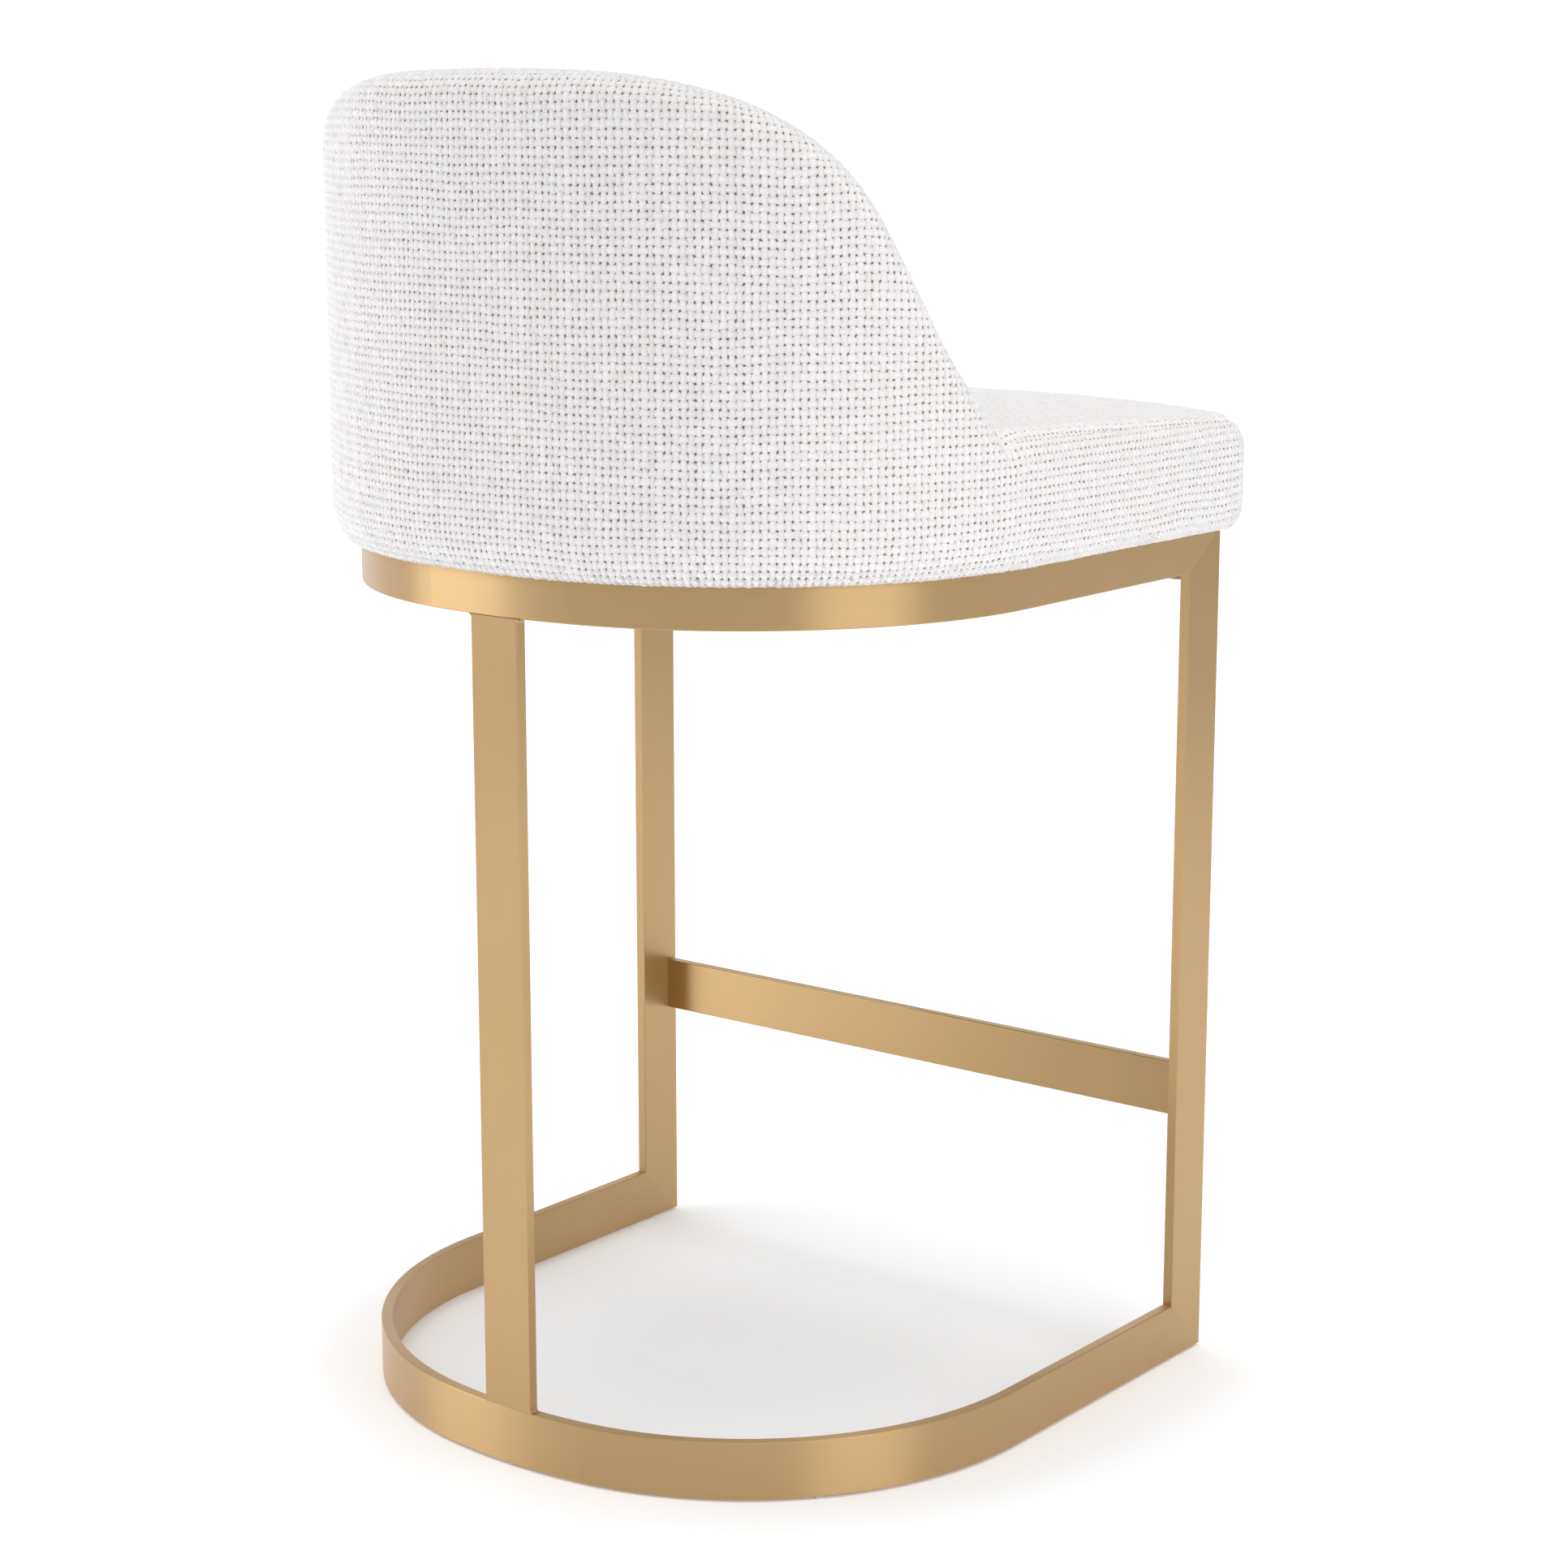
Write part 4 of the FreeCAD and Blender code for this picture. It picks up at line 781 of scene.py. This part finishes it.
def nylon():
    """Pale grey moulded plastic, faintly mottled."""
    n = Nodes("nylon")
    place = n.add("ShaderNodeTexCoord").outputs["Object"]
    grain = n.noise(place, 1500.0, 2.0)
    colour = n.mix(grain, (0.52, 0.51, 0.49, 1), (0.60, 0.59, 0.57, 1))
    n.put(n.shader.inputs["Base Color"], colour)
    n.put(n.shader.inputs["Roughness"], n.ramp(grain, 0.2, 0.8, 0.4, 0.6))
    return n.material


GOLD = (0.550, 0.368, 0.180, 1.0)
GOLD_STREAK = (0.505, 0.332, 0.154, 1.0)
# The level parts are the same brass as the uprights, painted about 13% lighter: painted light for
# their highlights
LIT_LEVEL_GOLD = (0.620, 0.415, 0.206, 1.0)
LIT_LEVEL_GOLD_STREAK = (0.570, 0.376, 0.178, 1.0)
ZINC = (0.60, 0.61, 0.63, 1.0)
ZINC_STREAK = (0.46, 0.47, 0.49, 1.0)
level_brass = brushed(
    "brass_brushed_level",
    (18, 18, 1900),
    LIT_LEVEL_GOLD,
    LIT_LEVEL_GOLD_STREAK,
    0.43,
    turned=0.25,
    lacquer=0.25,
    spread=0.93,
)
upright_brass = brushed(
    "brass_brushed_upright", (1900, 1900, 14), GOLD, GOLD_STREAK, 0.40, lacquer=0.25
)
zinc = brushed("zinc_plate", (700, 700, 700), ZINC, ZINC_STREAK, 0.38)
looks = {
    level_brass: ("base_ring", "seat_ring", "footrest_bar", "front_rail", "seat_tabs"),
    upright_brass: ("front_leg_left", "front_leg_right", "rear_leg"),
    zinc: ("seat_bolts", "bolt_washers", "tee_nuts", "bracket_screws", "back_brackets", "staples"),
    plywood(): ("seat_board", "back_shell"),
    dust_cloth(): ("dust_cover",),
    nylon(): ("floor_glides",),
}
for look, names in looks.items():
    for node_name in names:
        for material_slot in nodes[node_name].material_slots:
            material_slot.material = look

cloth = fabric("woven_cloth")
outer = outer_cloth(cloth)
lining = back_lining(cloth)
top = seat_top(cloth)
for piece, stands_for in (
    (outer, ("outer_cover", "back_outer_foam")),
    (lining, ("back_inner_cover", "back_inner_foam")),
    (top, ("seat_top_cover", "seat_foam")),
):
    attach(piece, "root")
    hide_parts(*stands_for)


# Camera, floor and light

CAMERA_AT = (-1.4485, 1.8040, 0.9150)
YAW = -2.4823
PITCH_DOWN = math.radians(11.83)
LENS = 77.06
FLOOR_RADIUS = 2.7
FLOOR_SIDES = 96
FLOOR_COLOURS = ((0.949, 0.955, 0.966, 1), (0.964, 0.970, 0.981, 1))
FLOOR_GLOW = 0.12
CEILING = 0.315
CEILING_ANGLE = 36  # degrees, wide for soft shadows
WORLD_BEARING = 142  # degrees from +Y towards +X, where the backdrop's light is brightest
WORLD_FADES = ((0.30, 0.85, 0.55), (-0.95, 0.20, 0.75))  # from, to, and how dim before
WORLD_BRIGHT = 1.10
WORLD_BAND = (0.12, 0.50)  # the heights between which the light goes over to WORLD_HIGH
WORLD_HIGH = 0.67
BACKDROP = 1.15
MIDDLE, SEAT = (0, 0, 0.5), (0, 0, 0.7)  # what the lights are aimed at


def add_camera():
    """The camera: turned by YAW from looking along +Y, and tilted down."""
    data = bpy.data.cameras.new("camera")
    data.lens = LENS
    data.sensor_width = 36
    data.clip_end = 50
    camera = bpy.data.objects.new("camera", data)
    forward = np.array(
        [
            -math.sin(YAW) * math.cos(PITCH_DOWN),
            math.cos(YAW) * math.cos(PITCH_DOWN),
            -math.sin(PITCH_DOWN),
        ]
    )
    right = np.array([math.cos(YAW), math.sin(YAW), 0.0])
    up = np.cross(right, forward)
    turn = Matrix((right, up, -forward)).transposed()
    camera.matrix_world = Matrix.Translation(CAMERA_AT) @ turn.to_4x4()
    bpy.context.scene.collection.objects.link(camera)
    bpy.context.scene.camera = camera


def add_floor():
    """A round white floor that glows faintly, as a light table does."""
    mesh = bpy.data.meshes.new("floor")
    turns = np.arange(FLOOR_SIDES) * (2 * math.pi / FLOOR_SIDES)
    corners = [(FLOOR_RADIUS * math.cos(t), FLOOR_RADIUS * math.sin(t), 0.0) for t in turns]
    mesh.from_pydata(corners, [], [tuple(range(len(corners)))])
    floor = bpy.data.objects.new("floor", mesh)
    bpy.context.scene.collection.objects.link(floor)
    n = Nodes("floor")
    place = n.add("ShaderNodeTexCoord").outputs["Object"]
    n.put(n.shader.inputs["Base Color"], n.mix(n.noise(place, 3.0), *FLOOR_COLOURS))
    n.shader.inputs["Roughness"].default_value = 0.9
    n.shader.inputs["Specular IOR Level"].default_value = 0.1
    n.shader.inputs["Emission Color"].default_value = (1.0, 1.0, 1.0, 1.0)
    n.shader.inputs["Emission Strength"].default_value = FLOOR_GLOW
    mesh.materials.append(n.material)


def add_light(name, compass, height, distance, size, radiance, aim, mirrored=True):
    """A soft rectangular light. compass is its bearing in degrees from +Y towards +X.

    The metal mirrors it unless mirrored is off.
    """
    data = bpy.data.lights.new(name, "AREA")
    data.shape = "RECTANGLE"
    data.size, data.size_y = size
    data.energy = radiance * math.pi * size[0] * size[1]
    lamp = bpy.data.objects.new(name, data)
    turn = math.radians(compass)
    at = Vector((distance * math.sin(turn), distance * math.cos(turn), height))
    facing = (Vector(aim) - at).to_track_quat("-Z", "Y").to_matrix().to_4x4()
    lamp.matrix_world = Matrix.Translation(at) @ facing
    lamp.visible_camera = False
    lamp.visible_glossy = mirrored
    bpy.context.scene.collection.objects.link(lamp)


def add_ceiling_light():
    """Even soft light from straight above."""
    data = bpy.data.lights.new("ceiling", "SUN")
    data.energy = CEILING * math.pi
    data.angle = math.radians(CEILING_ANGLE)
    lamp = bpy.data.objects.new("ceiling", data)
    lamp.location = (0, 0, 3)
    bpy.context.scene.collection.objects.link(lamp)


def add_world():
    """A white backdrop. Its light is dim near the horizon, except on the bright bearing."""
    world = bpy.data.worlds.new("studio")
    bpy.context.scene.world = world
    world.use_nodes = True
    tree = world.node_tree
    back = tree.nodes["Background"]
    back.inputs["Color"].default_value = (1.0, 1.0, 1.0, 1.0)
    direction = tree.nodes.new("ShaderNodeTexCoord")
    dot = tree.nodes.new("ShaderNodeVectorMath")
    dot.operation = "DOT_PRODUCT"
    turn = math.radians(WORLD_BEARING)
    dot.inputs[1].default_value = (math.sin(turn), math.cos(turn), 0.0)
    steps = []
    for low, high, dim in WORLD_FADES:
        fade = tree.nodes.new("ShaderNodeMapRange")
        fade.interpolation_type = "SMOOTHSTEP"
        fade.inputs["From Min"].default_value = low
        fade.inputs["From Max"].default_value = high
        fade.inputs["To Min"].default_value = dim
        tree.links.new(dot.outputs["Value"], fade.inputs["Value"])
        steps.append(fade.outputs[0])
    tree.links.new(direction.outputs["Generated"], dot.inputs[0])
    level = tree.nodes.new("ShaderNodeMath")
    level.operation = "MULTIPLY"
    tree.links.new(steps[0], level.inputs[0])
    tree.links.new(steps[1], level.inputs[1])
    # Only the band near the horizon is dim.
    height = tree.nodes.new("ShaderNodeSeparateXYZ")
    tree.links.new(direction.outputs["Generated"], height.inputs[0])
    rise = tree.nodes.new("ShaderNodeMapRange")
    rise.interpolation_type = "SMOOTHSTEP"
    rise.inputs["From Min"].default_value, rise.inputs["From Max"].default_value = WORLD_BAND
    rise.inputs["To Max"].default_value = WORLD_HIGH
    tree.links.new(height.outputs["Z"], rise.inputs["Value"])
    low = tree.nodes.new("ShaderNodeMath")
    low.operation = "MULTIPLY"
    low.inputs[1].default_value = WORLD_BRIGHT
    tree.links.new(level.outputs[0], low.inputs[0])
    tree.links.new(low.outputs[0], rise.inputs["To Min"])
    # The backdrop itself is plain white.
    path = tree.nodes.new("ShaderNodeLightPath")
    seen = tree.nodes.new("ShaderNodeMix")
    seen.inputs["B"].default_value = BACKDROP
    tree.links.new(path.outputs["Is Camera Ray"], seen.inputs["Factor"])
    tree.links.new(rise.outputs[0], seen.inputs["A"])
    tree.links.new(seen.outputs["Result"], back.inputs["Strength"])


add_camera()
add_floor()
add_world()
add_light("left_box", 51, 1.10, 3.2, (1.65, 2.2), 1.95, MIDDLE)
add_light("right_box", -76, 1.15, 3.2, (1.95, 2.2), 1.6, MIDDLE)
add_light("back_fill", -39, 0.9, 3.3, (1.8, 1.6), 0.46, SEAT, mirrored=False)
add_light("left_fill", 78, 0.9, 3.1, (2.0, 1.6), 1.22, SEAT, mirrored=False)
add_light("right_fill", -105, 0.9, 3.1, (2.0, 1.6), 0.60, SEAT, mirrored=False)
add_ceiling_light()
bpy.context.scene.view_settings.view_transform = "Standard"
